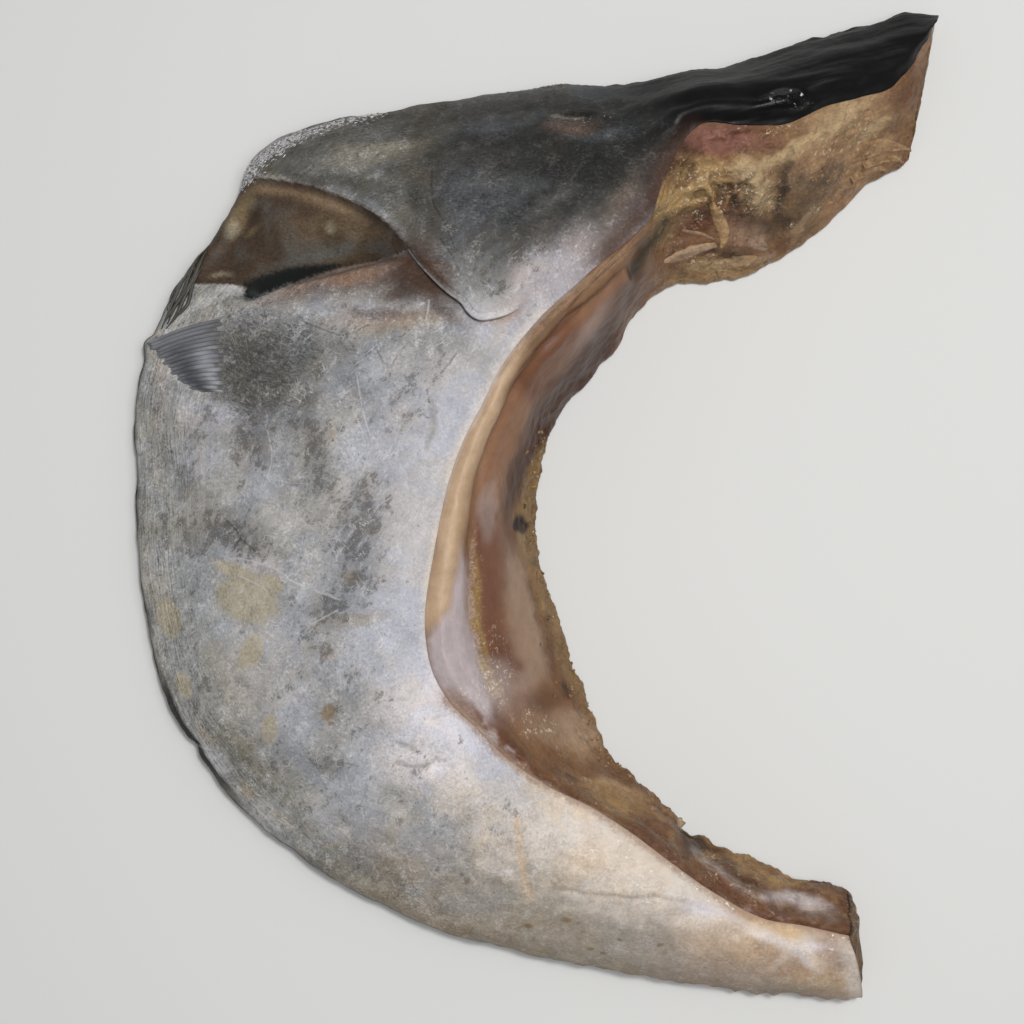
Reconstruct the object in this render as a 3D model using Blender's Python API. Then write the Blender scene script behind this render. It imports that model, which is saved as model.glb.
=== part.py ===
"""Tuna collar: one C-shaped piece of raw fish, lying skin side up on its flat cut underside.

The back end of the C is at +Y, the belly end at -Y, and the C opens towards +X. The skin runs from the
outer edge up to a bony rim. From the rim the membrane and the flesh go down to the inner foot.
Sizes are in millimetres until the mesh is made, which is in metres.
"""

import bmesh
import bpy
import numpy as np
from mathutils import Vector, noise

MM = 0.001
NODE_NAME = "collar"

# The form, read at stations along the C from the tip at the back to the end at the belly.
# Each row: outer edge x, y | rim x, y | inner foot x, y | rim height, outer edge height,
# radius of the roll at the outer edge, fullness of the inner face (1 is straight, 2 is round).
STATIONS = (
    (139.0, 171.5, 134.5, 164.0, 129.0, 125.0, 18.0, 8.0, 3.0, 1.2),
    (128.0, 173.0, 121.5, 144.5, 120.5, 119.5, 25.0, 9.0, 4.0, 1.3),
    (115.5, 169.0, 109.0, 138.5, 109.5, 111.0, 30.0, 9.0, 4.0, 1.3),
    (102.5, 166.0, 97.0, 134.5, 98.5, 101.5, 34.0, 9.0, 4.0, 1.3),
    (86.5, 161.5, 83.5, 128.0, 86.5, 91.5, 37.0, 10.0, 4.0, 1.3),
    (69.0, 155.5, 69.0, 127.0, 73.0, 86.5, 40.0, 10.0, 4.0, 1.4),
    (52.5, 153.0, 56.0, 126.5, 61.5, 84.0, 42.0, 10.0, 4.0, 1.4),
    (34.0, 149.5, 47.0, 114.5, 50.5, 82.5, 44.0, 10.0, 4.0, 1.5),
    (12.5, 149.0, 40.5, 97.0, 42.0, 77.5, 46.0, 11.0, 4.0, 1.6),
    (-14.5, 145.5, 33.0, 89.0, 36.0, 71.0, 47.0, 11.0, 4.0, 1.8),
    (-41.0, 141.5, 24.5, 82.0, 31.5, 62.5, 47.0, 11.0, 4.0, 1.9),
    (-67.5, 136.5, 16.0, 74.5, 26.0, 57.0, 47.0, 11.0, 4.0, 2.0),
    (-89.0, 126.5, 7.5, 67.0, 21.5, 51.0, 47.0, 11.0, 4.0, 2.0),
    (-99.5, 104.5, -0.5, 58.0, 15.0, 44.0, 47.0, 10.0, 4.0, 2.0),
    (-112.5, 87.0, -7.5, 48.5, 9.5, 35.5, 46.0, 9.0, 3.5, 2.0),
    (-123.5, 67.0, -13.0, 37.5, 7.0, 29.0, 46.0, 8.0, 3.5, 2.0),
    (-129.5, 44.5, -19.0, 26.0, 4.5, 18.0, 46.0, 8.0, 3.5, 2.0),
    (-129.0, 21.0, -24.0, 11.5, 3.0, 5.5, 46.0, 8.0, 3.5, 2.0),
    (-128.5, -4.0, -28.0, -7.5, 5.0, -9.5, 46.0, 8.0, 3.5, 2.0),
    (-125.0, -30.5, -31.0, -27.5, 10.0, -26.5, 45.0, 8.0, 3.5, 2.0),
    (-119.5, -52.5, -29.5, -43.0, 15.5, -43.0, 44.0, 8.0, 3.5, 1.9),
    (-109.5, -70.0, -24.0, -54.0, 20.5, -55.5, 43.0, 9.0, 4.0, 1.8),
    (-95.0, -89.0, -15.5, -62.5, 26.0, -71.0, 42.0, 10.0, 5.0, 1.6),
    (-77.0, -104.0, -5.5, -72.5, 33.5, -79.5, 41.0, 12.0, 6.0, 1.5),
    (-54.0, -118.5, 7.0, -81.0, 42.5, -87.0, 39.0, 13.0, 7.0, 1.4),
    (-28.0, -130.0, 20.0, -87.5, 51.5, -95.0, 37.0, 15.0, 8.0, 1.4),
    (-0.5, -137.0, 33.0, -96.0, 61.0, -99.5, 34.0, 16.0, 9.0, 1.4),
    (27.0, -143.0, 46.0, -106.0, 69.5, -106.0, 31.0, 16.0, 9.0, 1.4),
    (52.5, -147.0, 58.5, -115.0, 78.0, -109.5, 28.0, 15.0, 8.0, 1.5),
    (77.0, -150.0, 74.0, -123.5, 88.0, -114.0, 26.0, 14.0, 8.0, 1.6),
    (94.5, -151.5, 88.0, -126.5, 98.0, -115.0, 24.0, 13.0, 7.0, 1.7),
    (108.5, -152.0, 102.5, -130.0, 105.0, -117.5, 22.0, 12.0, 6.0, 1.8),
)

# How finely the form is read before it is thinned to facets.
SECTIONS = 420
EDGE_POINTS = 14
SKIN_POINTS = 88
FLESH_POINTS = 52
CAP_ROWS = 10
TRIANGLES = 10600

MIDDLE = (4.4, 10.2)  # middle of the piece in the coordinates above, where the origin goes
CUT_BELOW = 2.0  # the body is made this much too deep, then cut flat at the height of the table
UNDERCUT = 6.0  # how far the underside stands in from the outer edge
FOOT_INSET = 2.0  # the same at the inner foot
FOOT_HEIGHT = 2.0  # where the inner foot reaches furthest
CREST = 2.2  # how far the skin swells above the rim
CREST_AT = 0.86  # where its highest line lies, from the outer edge to the rim
END_BULGE = 3.0  # how far the belly end swells

# Lines of the features, seen from above.
POCKET_FOLD = (
    (-93, 116.5), (-87, 117), (-78.5, 114.7), (-68.5, 111.3), (-57.5, 106.2), (-49, 101.3), (-42, 95.2), (-37.4, 89.8),
    (-32, 84.5),
)
POCKET_SLIT = ((-90.5, 78), (-84, 80), (-76.5, 82), (-65, 83.5), (-53, 84.8), (-42, 86), (-33, 83.8))
FLAP_EDGE = ((-39, 90), (-32.5, 84.5), (-26, 79.5), (-22, 72), (-17.5, 66), (-14, 65), (-8.5, 66.5), (-1, 70))
FLAP_CREASE = ((-29, 114), (-29, 107.5), (-28, 101.5), (-24.5, 95), (-21.5, 87))
BACK_FOLD = ((37.5, 134.5), (53.5, 137.5), (69.5, 140.5), (88.5, 142), (107.5, 143.5))
LOW_BACK_FOLD = ((48.5, 130), (62.5, 131.5), (78.5, 133), (88, 133.5))
SINEW = ((61.5, 104), (65.5, 97.5), (64.5, 92.5), (57.5, 90), (51.5, 88.5))
DARK_CREASE = ((43.5, 96), (40, 90), (34.5, 82))
BELLY_HOLLOW = ((53, -96.5), (57.5, -100.5), (62.5, -103.5))
BELLY_RIDGE = ((52.5, -101.5), (62.5, -109), (72, -116), (81.5, -118.5))

FIN_TIP = (-124.0, 62.5)  # the folded fin: its tip on the outer edge, and the two far corners
FIN_TOP = (-99.0, 69.0)
FIN_LOW = (-99.0, 44.5)
NICK = (-92.0, 111.5)


def through(rows, at):
    """Points on the smooth curve through rows, one row to each whole number of at."""
    rows = np.asarray(rows, float)
    last = len(rows) - 1
    slopes = np.gradient(rows, axis=0)
    low = np.clip(np.floor(at).astype(int), 0, last - 1)
    u = (at - low)[:, None]
    start, end = rows[low], rows[low + 1]
    leave, arrive = slopes[low], slopes[low + 1]
    return (
        (2 * u**3 - 3 * u**2 + 1) * start
        + (u**3 - 2 * u**2 + u) * leave
        + (3 * u**2 - 2 * u**3) * end
        + (u**3 - u**2) * arrive
    )


def smooth_step(low, high, value):
    u = np.clip((value - low) / (high - low), 0, 1)
    return u * u * (3 - 2 * u)


def near(distance, width):
    """1 on a line, falling away to 0 over about twice the width."""
    return np.exp(-((distance / width) ** 2))


def beside(line, plan):
    """For each point: its distance to a line, with + on the line's left, and how far along it lies, 0 to 1."""
    curve = through(line, np.linspace(0, len(line) - 1, 6 * len(line)))
    start, step = curve[:-1], np.diff(curve, axis=0)
    away = plan[:, None, :] - start[None]
    part = np.clip((away * step).sum(2) / (step**2).sum(1), 0, 1)
    gap = away - part[..., None] * step
    length = np.hypot(gap[..., 0], gap[..., 1])
    nearest = length.argmin(1)
    row = np.arange(len(plan))
    side = step[nearest, 0] * away[row, nearest, 1] - step[nearest, 1] * away[row, nearest, 0]
    return length[row, nearest] * np.sign(side), (nearest + part[row, nearest]) / len(step)


def lumps(points, size, seed, octaves=3):
    """Uneven relief between about -1 and 1, with lumps of the given size."""
    shift = Vector((seed * 17.3, seed * 5.1, seed * 9.7))
    return np.array([noise.fractal(Vector(p) / size + shift, 1.0, 2.0, octaves) for p in points])


def station_places():
    """Places along the rows of STATIONS at which the sections stand evenly along the middle of the piece."""
    fine = np.linspace(0, len(STATIONS) - 1, 2000)
    form = through(STATIONS, fine)
    middle = (form[:, 0:2] + form[:, 2:4] + form[:, 4:6]) / 3
    travel = np.concatenate([[0], np.cumsum(np.hypot(*np.diff(middle, axis=0).T))])
    return np.interp(np.linspace(0, travel[-1], SECTIONS), travel, fine)


def section(row):
    """The upper line of one section, from under the outer edge over the skin and the rim to the inner foot."""
    outer, rim, inner = Vector(row[0:2]), Vector(row[2:4]), Vector(row[4:6])
    height, edge, roll, fullness = row[6:10]
    width = (rim - outer).length
    depth = (inner - rim).length
    drop = edge - roll

    turn = np.linspace(1.25, 0, EDGE_POINTS, endpoint=False)
    under_in = UNDERCUT * (1 - np.cos(turn))
    under_up = drop - (drop + CUT_BELOW) * np.sin(turn) / np.sin(1.25)

    share = np.linspace(0, 1, SKIN_POINTS) ** 1.35
    reach = share * width
    rolled = roll * np.sqrt(1 - (1 - np.minimum(reach / roll, 1)) ** 2)
    swell = np.sin(np.minimum(share / CREST_AT, 1) * np.pi / 2)
    past_crest = smooth_step(CREST_AT - 0.12, 1, share)
    skin_up = drop + rolled + (height + CREST - edge) * swell - CREST * past_crest

    fall = np.linspace(0, 1, FLESH_POINTS + 1)[1:]
    flesh_up = height - (height + CUT_BELOW) * fall**fullness
    widest = ((height - FOOT_HEIGHT) / (height + CUT_BELOW)) ** (1 / fullness)
    rolled_under = FOOT_INSET * (np.maximum(fall - widest, 0) / (1 - widest)) ** 2
    flesh_out = np.minimum(fall / widest, 1) * depth - rolled_under

    across = (rim - outer).normalized()
    down = (inner - rim).normalized()
    points = [(*(outer + across * a), z) for a, z in zip(under_in, under_up)]
    points += [(*(outer + across * a), z) for a, z in zip(reach, skin_up)]
    points += [(*(rim + down * a), z) for a, z in zip(flesh_out, flesh_up)]
    return points


def fin_pocket(plan):
    """The hollow that the fin folds into: a sharp fold above, a slope, and a deep slit with a lip below."""
    below_fold, _ = beside(POCKET_FOLD, plan)
    above_slit, along = beside(POCKET_SLIT, plan)
    below_fold = -below_fold
    inside = smooth_step(0, 2.5, below_fold) * smooth_step(-4.5, 1.0, above_slit)
    slope = below_fold / (np.abs(below_fold) + np.abs(above_slit) + 0.01)
    shallow = smooth_step(1.0, 0.72, along)
    reach = smooth_step(-112, -98, plan[:, 0])
    depth = inside * (2.0 + 4.5 * np.clip(slope, 0, 1) ** 1.6) * shallow * reach
    slit = near(above_slit, 4.0) * smooth_step(0.75, 0.3, along) * smooth_step(-95, -89, plan[:, 0])
    return -depth - 2.8 * slit


def flap(plan):
    """The corner of skin that laps over the end of the pocket."""
    inside, along = beside(FLAP_EDGE, plan)
    ends = smooth_step(0.0, 0.25, along) * smooth_step(1.0, 0.8, along)
    edge = smooth_step(0, 1.6, inside) * np.exp(-np.maximum(inside, 0) / 14) * 3.0
    crease, _ = beside(FLAP_CREASE, plan)
    return edge * ends - 1.3 * near(crease, 3.0)


def folded_fin(plan):
    """The fan of the folded fin, standing a little above the skin round it."""
    tip, top, low = (np.array(p) for p in (FIN_TIP, FIN_TOP, FIN_LOW))
    inside = np.full(len(plan), 9.0)
    for a, b in ((tip, low), (low, top), (top, tip)):
        side = b - a
        gap = (side[0] * (plan[:, 1] - a[1]) - side[1] * (plan[:, 0] - a[0])) / np.hypot(*side)
        inside = np.minimum(inside, gap)
    return 1.2 * smooth_step(-0.5, 3.0, inside)


def back_folds(plan):
    """Wrinkles and a swollen knot in the black skin at the back end."""
    high, _ = beside(BACK_FOLD, plan)
    low, _ = beside(LOW_BACK_FOLD, plan)
    knot = np.hypot((plan[:, 0] - 84) / 1.6, plan[:, 1] - 134.5)
    ring = np.hypot((plan[:, 0] - 18) / 2.2, plan[:, 1] - 130.5)
    return 1.0 * near(high, 2.8) + 0.9 * near(low, 2.2) + 2.6 * near(knot, 4.0) + 1.0 * near(ring - 3.2, 1.4)


def skin_relief(points):
    plan = points[:, :2]
    waves = 0.9 * lumps(points, 34, 1) + 0.15 * lumps(points, 9, 2)
    return waves + fin_pocket(plan) + flap(plan) + folded_fin(plan) + back_folds(plan)


def flesh_relief(points, down, place):
    """Relief of the inner face. down is 0 at the rim and 1 at the foot; place counts the stations."""
    plan = points[:, :2]
    back = smooth_step(10.5, 6.5, place)
    belly = smooth_step(20, 24, place)
    middle = (1 - back) * (1 - belly)
    cover = smooth_step(0.0, 0.12, down)

    torn = 2.2 * lumps(points, 20, 3, octaves=2) + 0.8 * lumps(points, 7, 4, octaves=2)
    fat = 3.0 * near(np.hypot(plan[:, 0] - 74.5, plan[:, 1] - 108), 6.0)
    fat += 2.0 * near(np.hypot((plan[:, 0] - 58) / 1.5, plan[:, 1] - 109), 5.0)
    hollow = 4.5 * near(np.hypot(plan[:, 0] - 82.5, (plan[:, 1] - 104) / 1.2), 6.5)
    hollow += 2.5 * near(np.hypot(plan[:, 0] - 72, plan[:, 1] - 99), 4.0)
    sinew, _ = beside(SINEW, plan)
    crease, _ = beside(DARK_CREASE, plan)
    at_back = torn + fat - hollow + 2.0 * near(sinew, 1.8)

    groove = 1.6 * near(down - 0.33, 0.05) * middle
    bone = 1.0 * near(down - 0.14, 0.09) * middle
    crumbs = (1.4 * lumps(points, 5, 5) + 1.2 * lumps(points, 13, 6)) * smooth_step(0.72, 0.95, down)

    dip, _ = beside(BELLY_HOLLOW, plan)
    ridge, _ = beside(BELLY_RIDGE, plan)
    at_belly = 1.0 * lumps(points, 12, 7) - 3.2 * near(dip, 3.5) + 1.8 * near(ridge, 1.8)
    at_belly -= 1.8 * near(down - 0.45, 0.14)

    relief = back * at_back + middle * 0.6 * lumps(points, 14, 8) + belly * at_belly
    return cover * (relief + bone - groove + crumbs - 2.6 * near(crease, 2.4))


def outline_relief(points):
    """Unevenness of the cut outer edge, with the tip of the fin and the nick at the end of the pocket."""
    tip = np.hypot(points[:, 0] - FIN_TIP[0], points[:, 1] - FIN_TIP[1])
    nick = np.hypot(points[:, 0] - NICK[0], points[:, 1] - NICK[1])
    return 0.7 * lumps(points, 11, 9) + 2.4 * near(tip, 3.0) - 1.8 * near(nick, 3.5)


def outward(grid):
    """Unit directions straight out of a grid of points."""
    along = np.gradient(grid, axis=0)
    across = np.gradient(grid, axis=1)
    away = np.cross(across, along)
    return away / np.maximum(np.linalg.norm(away, axis=2, keepdims=True), 1e-9)


def upper_surface():
    """A grid of points: one row to a section, from under the outer edge to the inner foot."""
    places = station_places()
    grid = np.array([section(row) for row in through(STATIONS, places)])
    first_skin, first_flesh = EDGE_POINTS, EDGE_POINTS + SKIN_POINTS
    normals = outward(grid)
    if normals[SECTIONS // 2, EDGE_POINTS + SKIN_POINTS // 2, 2] < 0:
        normals = -normals
    relief = np.zeros(grid.shape[:2])
    skin = grid[:, first_skin:first_flesh]
    flesh = grid[:, first_flesh:]
    fade = smooth_step(0, 0.06, np.linspace(0, 1, SKIN_POINTS))
    relief[:, first_skin:first_flesh] = skin_relief(skin.reshape(-1, 3)).reshape(skin.shape[:2]) * fade
    down = np.linspace(0, 1, FLESH_POINTS + 1)[1:]
    relief[:, first_flesh:] = flesh_relief(
        flesh.reshape(-1, 3),
        np.tile(down, SECTIONS),
        np.repeat(places, FLESH_POINTS),
    ).reshape(flesh.shape[:2])
    rough_edge = outline_relief(grid[:, : first_skin + 6].reshape(-1, 3)).reshape(SECTIONS, -1)
    relief[:, : first_skin + 6] += rough_edge
    return grid + normals * relief[..., None]


def closed_body(grid):
    """Points and faces of the closed body under a grid: a bottom below the table, and a cap at each end."""
    rows, columns = grid.shape[:2]
    share = np.linspace(0, 1, columns)[None, :, None]
    bottom = grid[:, :1] * (1 - share) + grid[:, -1:] * share
    bottom[..., 2] = -CUT_BELOW
    loop = np.concatenate([grid, bottom[:, -2:0:-1]], axis=1)
    around = loop.shape[1]
    points = list(map(tuple, loop.reshape(-1, 3)))
    faces = []
    for r in range(rows - 1):
        for c in range(around):
            n = (c + 1) % around
            faces.append((r * around + c, r * around + n, (r + 1) * around + n, (r + 1) * around + c))
    for r, away, bulge in ((0, grid[0] - grid[1], 0.8), (rows - 1, grid[-1] - grid[-2], END_BULGE)):
        away = away.mean(0)
        away /= np.linalg.norm(away)
        upper = [r * around + c for c in range(columns)]
        lower = [upper[0]] + [r * around + around - c for c in range(1, columns - 1)] + [upper[-1]]
        faces += cap(points, upper, lower, away, bulge)
    return points, faces


def cap(points, upper, lower, away, bulge):
    """Faces of a cut end between two lines of points that share their ends. It adds the points between them."""
    rows = [upper]
    top = np.array([points[i] for i in upper])
    low = np.array([points[i] for i in lower])
    for r in range(1, CAP_ROWS):
        share = r / CAP_ROWS
        middle = top * (1 - share) + low * share
        rough = 1.3 * lumps(middle, 9, 11) + bulge * np.sin(np.pi * share)
        narrow = np.sin(np.linspace(0, np.pi, len(upper))) ** 0.4
        middle = middle + away * (rough * narrow * np.sin(np.pi * share))[:, None]
        inner = range(len(points), len(points) + len(upper) - 2)
        points.extend(map(tuple, middle[1:-1]))
        rows.append([upper[0], *inner, upper[-1]])
    rows.append(lower)
    faces = []
    for a, b in zip(rows, rows[1:]):
        for c in range(len(upper) - 1):
            corners = list(dict.fromkeys((a[c], a[c + 1], b[c + 1], b[c])))
            faces.append(tuple(corners))
    return faces


def mesh_object(name, points, faces):
    mesh = bpy.data.meshes.new(name)
    placed = (np.array(points) - (*MIDDLE, 0)) * MM
    mesh.from_pydata(placed.tolist(), [], faces)
    item = bpy.data.objects.new(name, mesh)
    bpy.context.scene.collection.objects.link(item)
    return item


def thinned(item):
    """The object's mesh with few facets where it is smooth and more where it is broken up."""
    full = sum(len(face.vertices) - 2 for face in item.data.polygons)
    thin = item.modifiers.new("Facets", "DECIMATE")
    thin.ratio = TRIANGLES / full
    graph = bpy.context.evaluated_depsgraph_get()
    mesh = bpy.data.meshes.new_from_object(item.evaluated_get(graph))
    item.modifiers.remove(thin)
    return mesh


def cut_flat(mesh):
    """Cuts the body off level with the table and closes the cut."""
    shape = bmesh.new()
    shape.from_mesh(mesh)
    everything = shape.verts[:] + shape.edges[:] + shape.faces[:]
    cut = bmesh.ops.bisect_plane(
        shape, geom=everything, plane_co=(0, 0, 0), plane_no=(0, 0, 1), clear_inner=True, dist=1e-6
    )
    rim = [edge for edge in cut["geom_cut"] if isinstance(edge, bmesh.types.BMEdge)]
    for edge in rim:
        for vertex in edge.verts:
            vertex.co.z = 0
    bmesh.ops.holes_fill(shape, edges=rim, sides=0)
    bmesh.ops.triangulate(shape, faces=shape.faces[:])
    bmesh.ops.recalc_face_normals(shape, faces=shape.faces[:])
    shape.to_mesh(mesh)
    shape.free()


def raw_skin():
    material = bpy.data.materials.new("Silver skin")
    material.use_nodes = True
    shader = material.node_tree.nodes["Principled BSDF"]
    shader.inputs["Base Color"].default_value = (0.36, 0.34, 0.33, 1.0)
    shader.inputs["Roughness"].default_value = 0.38
    shader.inputs["Metallic"].default_value = 0.0
    return material


def main():
    for item in list(bpy.data.objects):
        bpy.data.objects.remove(item, do_unlink=True)
    points, faces = closed_body(upper_surface())
    collar = mesh_object(NODE_NAME, points, faces)
    shape = bmesh.new()
    shape.from_mesh(collar.data)
    bmesh.ops.recalc_face_normals(shape, faces=shape.faces[:])
    shape.to_mesh(collar.data)
    shape.free()
    collar.data = thinned(collar)
    cut_flat(collar.data)
    collar.data.shade_smooth()
    collar.data.set_sharp_from_angle(angle=np.radians(50))
    collar.data.materials.append(raw_skin())


main()
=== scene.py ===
"""Tuna collar: the looks of one raw C-shaped piece of fish, lying skin side up.

The back end of the C is at +Y, the belly end at -Y, and the C opens towards +X. Two bodies make it: the
flesh, with its inner face, cut ends and underside, and the silver skin over it. Small pieces go on top: the
folded fin, lips and frayed edges of skin, strands, shreds, chips and crumbs. Sizes are in millimetres until
a mesh is made, in metres.
"""

import math

import bpy
import numpy as np
from bpy.props import FloatProperty, FloatVectorProperty, IntProperty, PointerProperty
from mathutils import Matrix, Vector, noise
from mathutils.bvhtree import BVHTree
from mathutils.kdtree import KDTree


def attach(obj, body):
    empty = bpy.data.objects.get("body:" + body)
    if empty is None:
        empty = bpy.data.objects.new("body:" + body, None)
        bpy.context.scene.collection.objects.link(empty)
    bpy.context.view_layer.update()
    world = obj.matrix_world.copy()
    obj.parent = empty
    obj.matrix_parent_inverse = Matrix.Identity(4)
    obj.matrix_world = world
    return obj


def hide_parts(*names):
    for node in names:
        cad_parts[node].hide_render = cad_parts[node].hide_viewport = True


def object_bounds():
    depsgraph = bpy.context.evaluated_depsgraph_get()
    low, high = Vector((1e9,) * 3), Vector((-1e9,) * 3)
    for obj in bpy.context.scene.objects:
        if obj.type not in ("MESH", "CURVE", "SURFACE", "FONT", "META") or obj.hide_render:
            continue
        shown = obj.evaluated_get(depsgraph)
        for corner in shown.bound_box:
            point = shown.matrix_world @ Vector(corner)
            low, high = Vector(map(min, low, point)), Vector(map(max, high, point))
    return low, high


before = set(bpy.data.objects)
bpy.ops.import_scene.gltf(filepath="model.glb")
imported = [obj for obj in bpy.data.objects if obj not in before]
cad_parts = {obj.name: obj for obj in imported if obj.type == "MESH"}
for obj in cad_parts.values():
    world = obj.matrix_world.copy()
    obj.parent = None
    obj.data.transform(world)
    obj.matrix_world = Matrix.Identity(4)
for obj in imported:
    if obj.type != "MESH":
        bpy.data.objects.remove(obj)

bl_info = {
    "name": "Tuna collar",
    "version": (1, 0, 0),
    "blender": (4, 5, 0),
    "location": "3D View > Sidebar > Collar",
    "description": "Builds the skin, flesh and small pieces of a raw tuna collar",
    "category": "Object",
}

MM = 0.001
NODE = "collar"
BODY = "root"
PHOTO_SIDE = 1024
CAD_BOX = [list(corner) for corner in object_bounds()]

# The form, read at stations along the C from the tip at the back to the end at the belly.
# Each row: outer edge x, y | rim x, y | inner foot x, y | rim height, outer edge height,
# radius of the roll at the outer edge, fullness of the inner face (1 is straight, 2 is round).
STATIONS = (
    (139, 171.5, 134.5, 164, 129, 125, 18, 8, 3, 1.2),
    (128, 173, 121.5, 144.5, 120.5, 119.5, 25, 9, 4, 1.3),
    (115.5, 169, 109, 138.5, 109.5, 111, 30, 9, 4, 1.3),
    (102.5, 166, 97, 134.5, 98.5, 101.5, 34, 9, 4, 1.3),
    (86.5, 161.5, 83.5, 128, 86.5, 91.5, 37, 10, 4, 1.3),
    (69, 155.5, 69, 127, 73, 86.5, 40, 10, 4, 1.4),
    (52.5, 153, 56, 126.5, 61.5, 84, 42, 10, 4, 1.4),
    (34, 149.5, 47, 114.5, 50.5, 82.5, 44, 10, 4, 1.5),
    (12.5, 149, 40.5, 97, 42, 77.5, 46, 11, 4, 1.6),
    (-14.5, 145.5, 33, 89, 36, 71, 47, 11, 4, 1.8),
    (-41, 141.5, 24.5, 82, 31.5, 62.5, 47, 11, 4, 1.9),
    (-67.5, 136.5, 16, 74.5, 26, 57, 47, 11, 4, 2),
    (-89, 126.5, 7.5, 67, 21.5, 51, 47, 11, 4, 2),
    (-99.5, 104.5, -0.5, 58, 15, 44, 47, 10, 4, 2),
    (-112.5, 87, -7.5, 48.5, 9.5, 35.5, 46, 9, 3.5, 2),
    (-123.5, 67, -13, 37.5, 7, 29, 46, 8, 3.5, 2),
    (-129.5, 44.5, -19, 26, 4.5, 18, 46, 8, 3.5, 2),
    (-129, 21, -24, 11.5, 3, 5.5, 46, 8, 3.5, 2),
    (-128.5, -4, -28, -7.5, 5, -9.5, 46, 8, 3.5, 2),
    (-125, -30.5, -31, -27.5, 10, -26.5, 45, 8, 3.5, 2),
    (-119.5, -52.5, -29.5, -43, 15.5, -43, 44, 8, 3.5, 1.9),
    (-109.5, -70, -24, -54, 20.5, -55.5, 43, 9, 4, 1.8),
    (-95, -89, -15.5, -62.5, 26, -71, 42, 10, 5, 1.6),
    (-77, -104, -5.5, -72.5, 33.5, -79.5, 41, 12, 6, 1.5),
    (-54, -118.5, 7, -81, 42.5, -87, 39, 13, 7, 1.4),
    (-28, -130, 20, -87.5, 51.5, -95, 37, 15, 8, 1.4),
    (-0.5, -137, 33, -96, 61, -99.5, 34, 16, 9, 1.4),
    (27, -143, 46, -106, 69.5, -106, 31, 16, 9, 1.4),
    (52.5, -147, 58.5, -115, 78, -109.5, 28, 15, 8, 1.5),
    (77, -150, 74, -123.5, 88, -114, 26, 14, 8, 1.6),
    (94.5, -151.5, 88, -126.5, 98, -115, 24, 13, 7, 1.7),
    (108.5, -152, 102.5, -130, 105, -117.5, 22, 12, 6, 1.8),
)

MIDDLE = (4.4, 10.2)  # middle of the piece in the coordinates above, where the origin is
CUT_BELOW = 2  # how far below the table the form is reckoned before it is cut flat
UNDERCUT = 6  # how far the underside stands in from the outer edge
UNDER_TURN = 1.25  # how far the roll turns under the outer edge, in radians
FOOT_INSET = 2
FOOT_HEIGHT = 2
CREST = 2.2
CREST_AT = 0.86
END_BULGE = 3

# How finely the two bodies are read.
ROWS = 640
EDGE_COLUMNS = 9
SKIN_COLUMNS = 118
FLESH_COLUMNS = 122
HIDDEN_COLUMNS = 8
CAP_RINGS = 14

FLOW_ACROSS = 1.6  # how much finer than its depth the fibres run across the inner face

# Lines of the features, seen from above.
POCKET_FOLD = (
    (-93, 116.5), (-87, 117), (-78.5, 114.7), (-68.5, 111.3), (-57.5, 106.2), (-49, 101.3), (-42, 95.2),
    (-37.4, 89.8), (-32, 84.5),
)
POCKET_SLIT = ((-90.5, 78), (-84, 80), (-76.5, 82), (-65, 83.5), (-53, 84.8), (-42, 86), (-33, 83.8))
POCKET_LOW = (
    (-114, 83), (-106, 82.5), (-98, 82.2), (-92, 81), (-84, 80), (-76.5, 82), (-65, 83.5), (-53, 84.8),
    (-42, 86),
)
FLAP_EDGE = (
    (-37.5, 90.5), (-33, 83.5), (-28.5, 78), (-23.5, 73), (-18.8, 69.3), (-16.6, 66.2), (-13.5, 64.3),
    (-9, 64.7), (-4, 66.6), (0.5, 70),
)
FLAP_CREASE = ((-29, 114), (-29, 107.5), (-28, 101.5), (-24.5, 95), (-21.5, 87))
BACK_FOLD = ((37.5, 134.5), (53.5, 137.5), (69.5, 140.5), (88.5, 142), (107.5, 143.5))
LOW_BACK_FOLD = ((48.5, 130), (62.5, 131.5), (78.5, 133), (88, 133.5))
SINEW = ((61.5, 104), (65.5, 97.5), (64.5, 92.5), (57.5, 90), (51.5, 88.5))
DARK_CREASE = ((45.4, 98), (42, 92.5), (38.7, 88), (35, 81.6))
BELLY_HOLLOW = ((53, -96.5), (57.5, -100.5), (62.5, -103.5))
BELLY_RIDGE = ((53.5, -103), (57.5, -106.5), (62, -109.5), (68, -114.3), (74.3, -117.4), (80, -117.8))
CREAM_EDGE = (
    (44, 97), (36.6, 89.2), (30.3, 83.5), (24, 77.3), (17.7, 71), (13, 64), (8.3, 57.5), (2, 52), (-3, 46)
)
BELLY_CREASE = ((-2.7, -91.3), (-1.8, -100.8), (-0.3, -110.5), (0.9, -115.5))
BELLY_SCRATCH = ((7.5, -113.7), (15.3, -114.4), (27.8, -116), (45, -117), (54.6, -119), (60.4, -120.7))
PALE_CREASE = ((-101, -11), (-92, -9.5), (-84, -11), (-77.4, -13.4), (-69.9, -18.2), (-57, -23))
MAUVE_LINE = (
    (12, -84), (23.2, -94), (35.7, -101.4), (48.3, -110.5), (54.7, -116.5), (67.4, -121.5), (82, -123.5)
)
OLIVE_STREAKS = (
    ((-28.5, 36.5), (-29.1, 29.6), (-30.6, 23)),
    ((-38.7, -66.3), (-35.6, -67.8), (-34.1, -70)),
    ((-38.8, -74.1), (-32.6, -75.6), (-26.4, -72.5)),
)
RED_RIM = ((62, 124), (52, 119), (45, 110), (40, 101), (34, 94), (28, 87), (22, 80), (15, 71.5))

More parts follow.
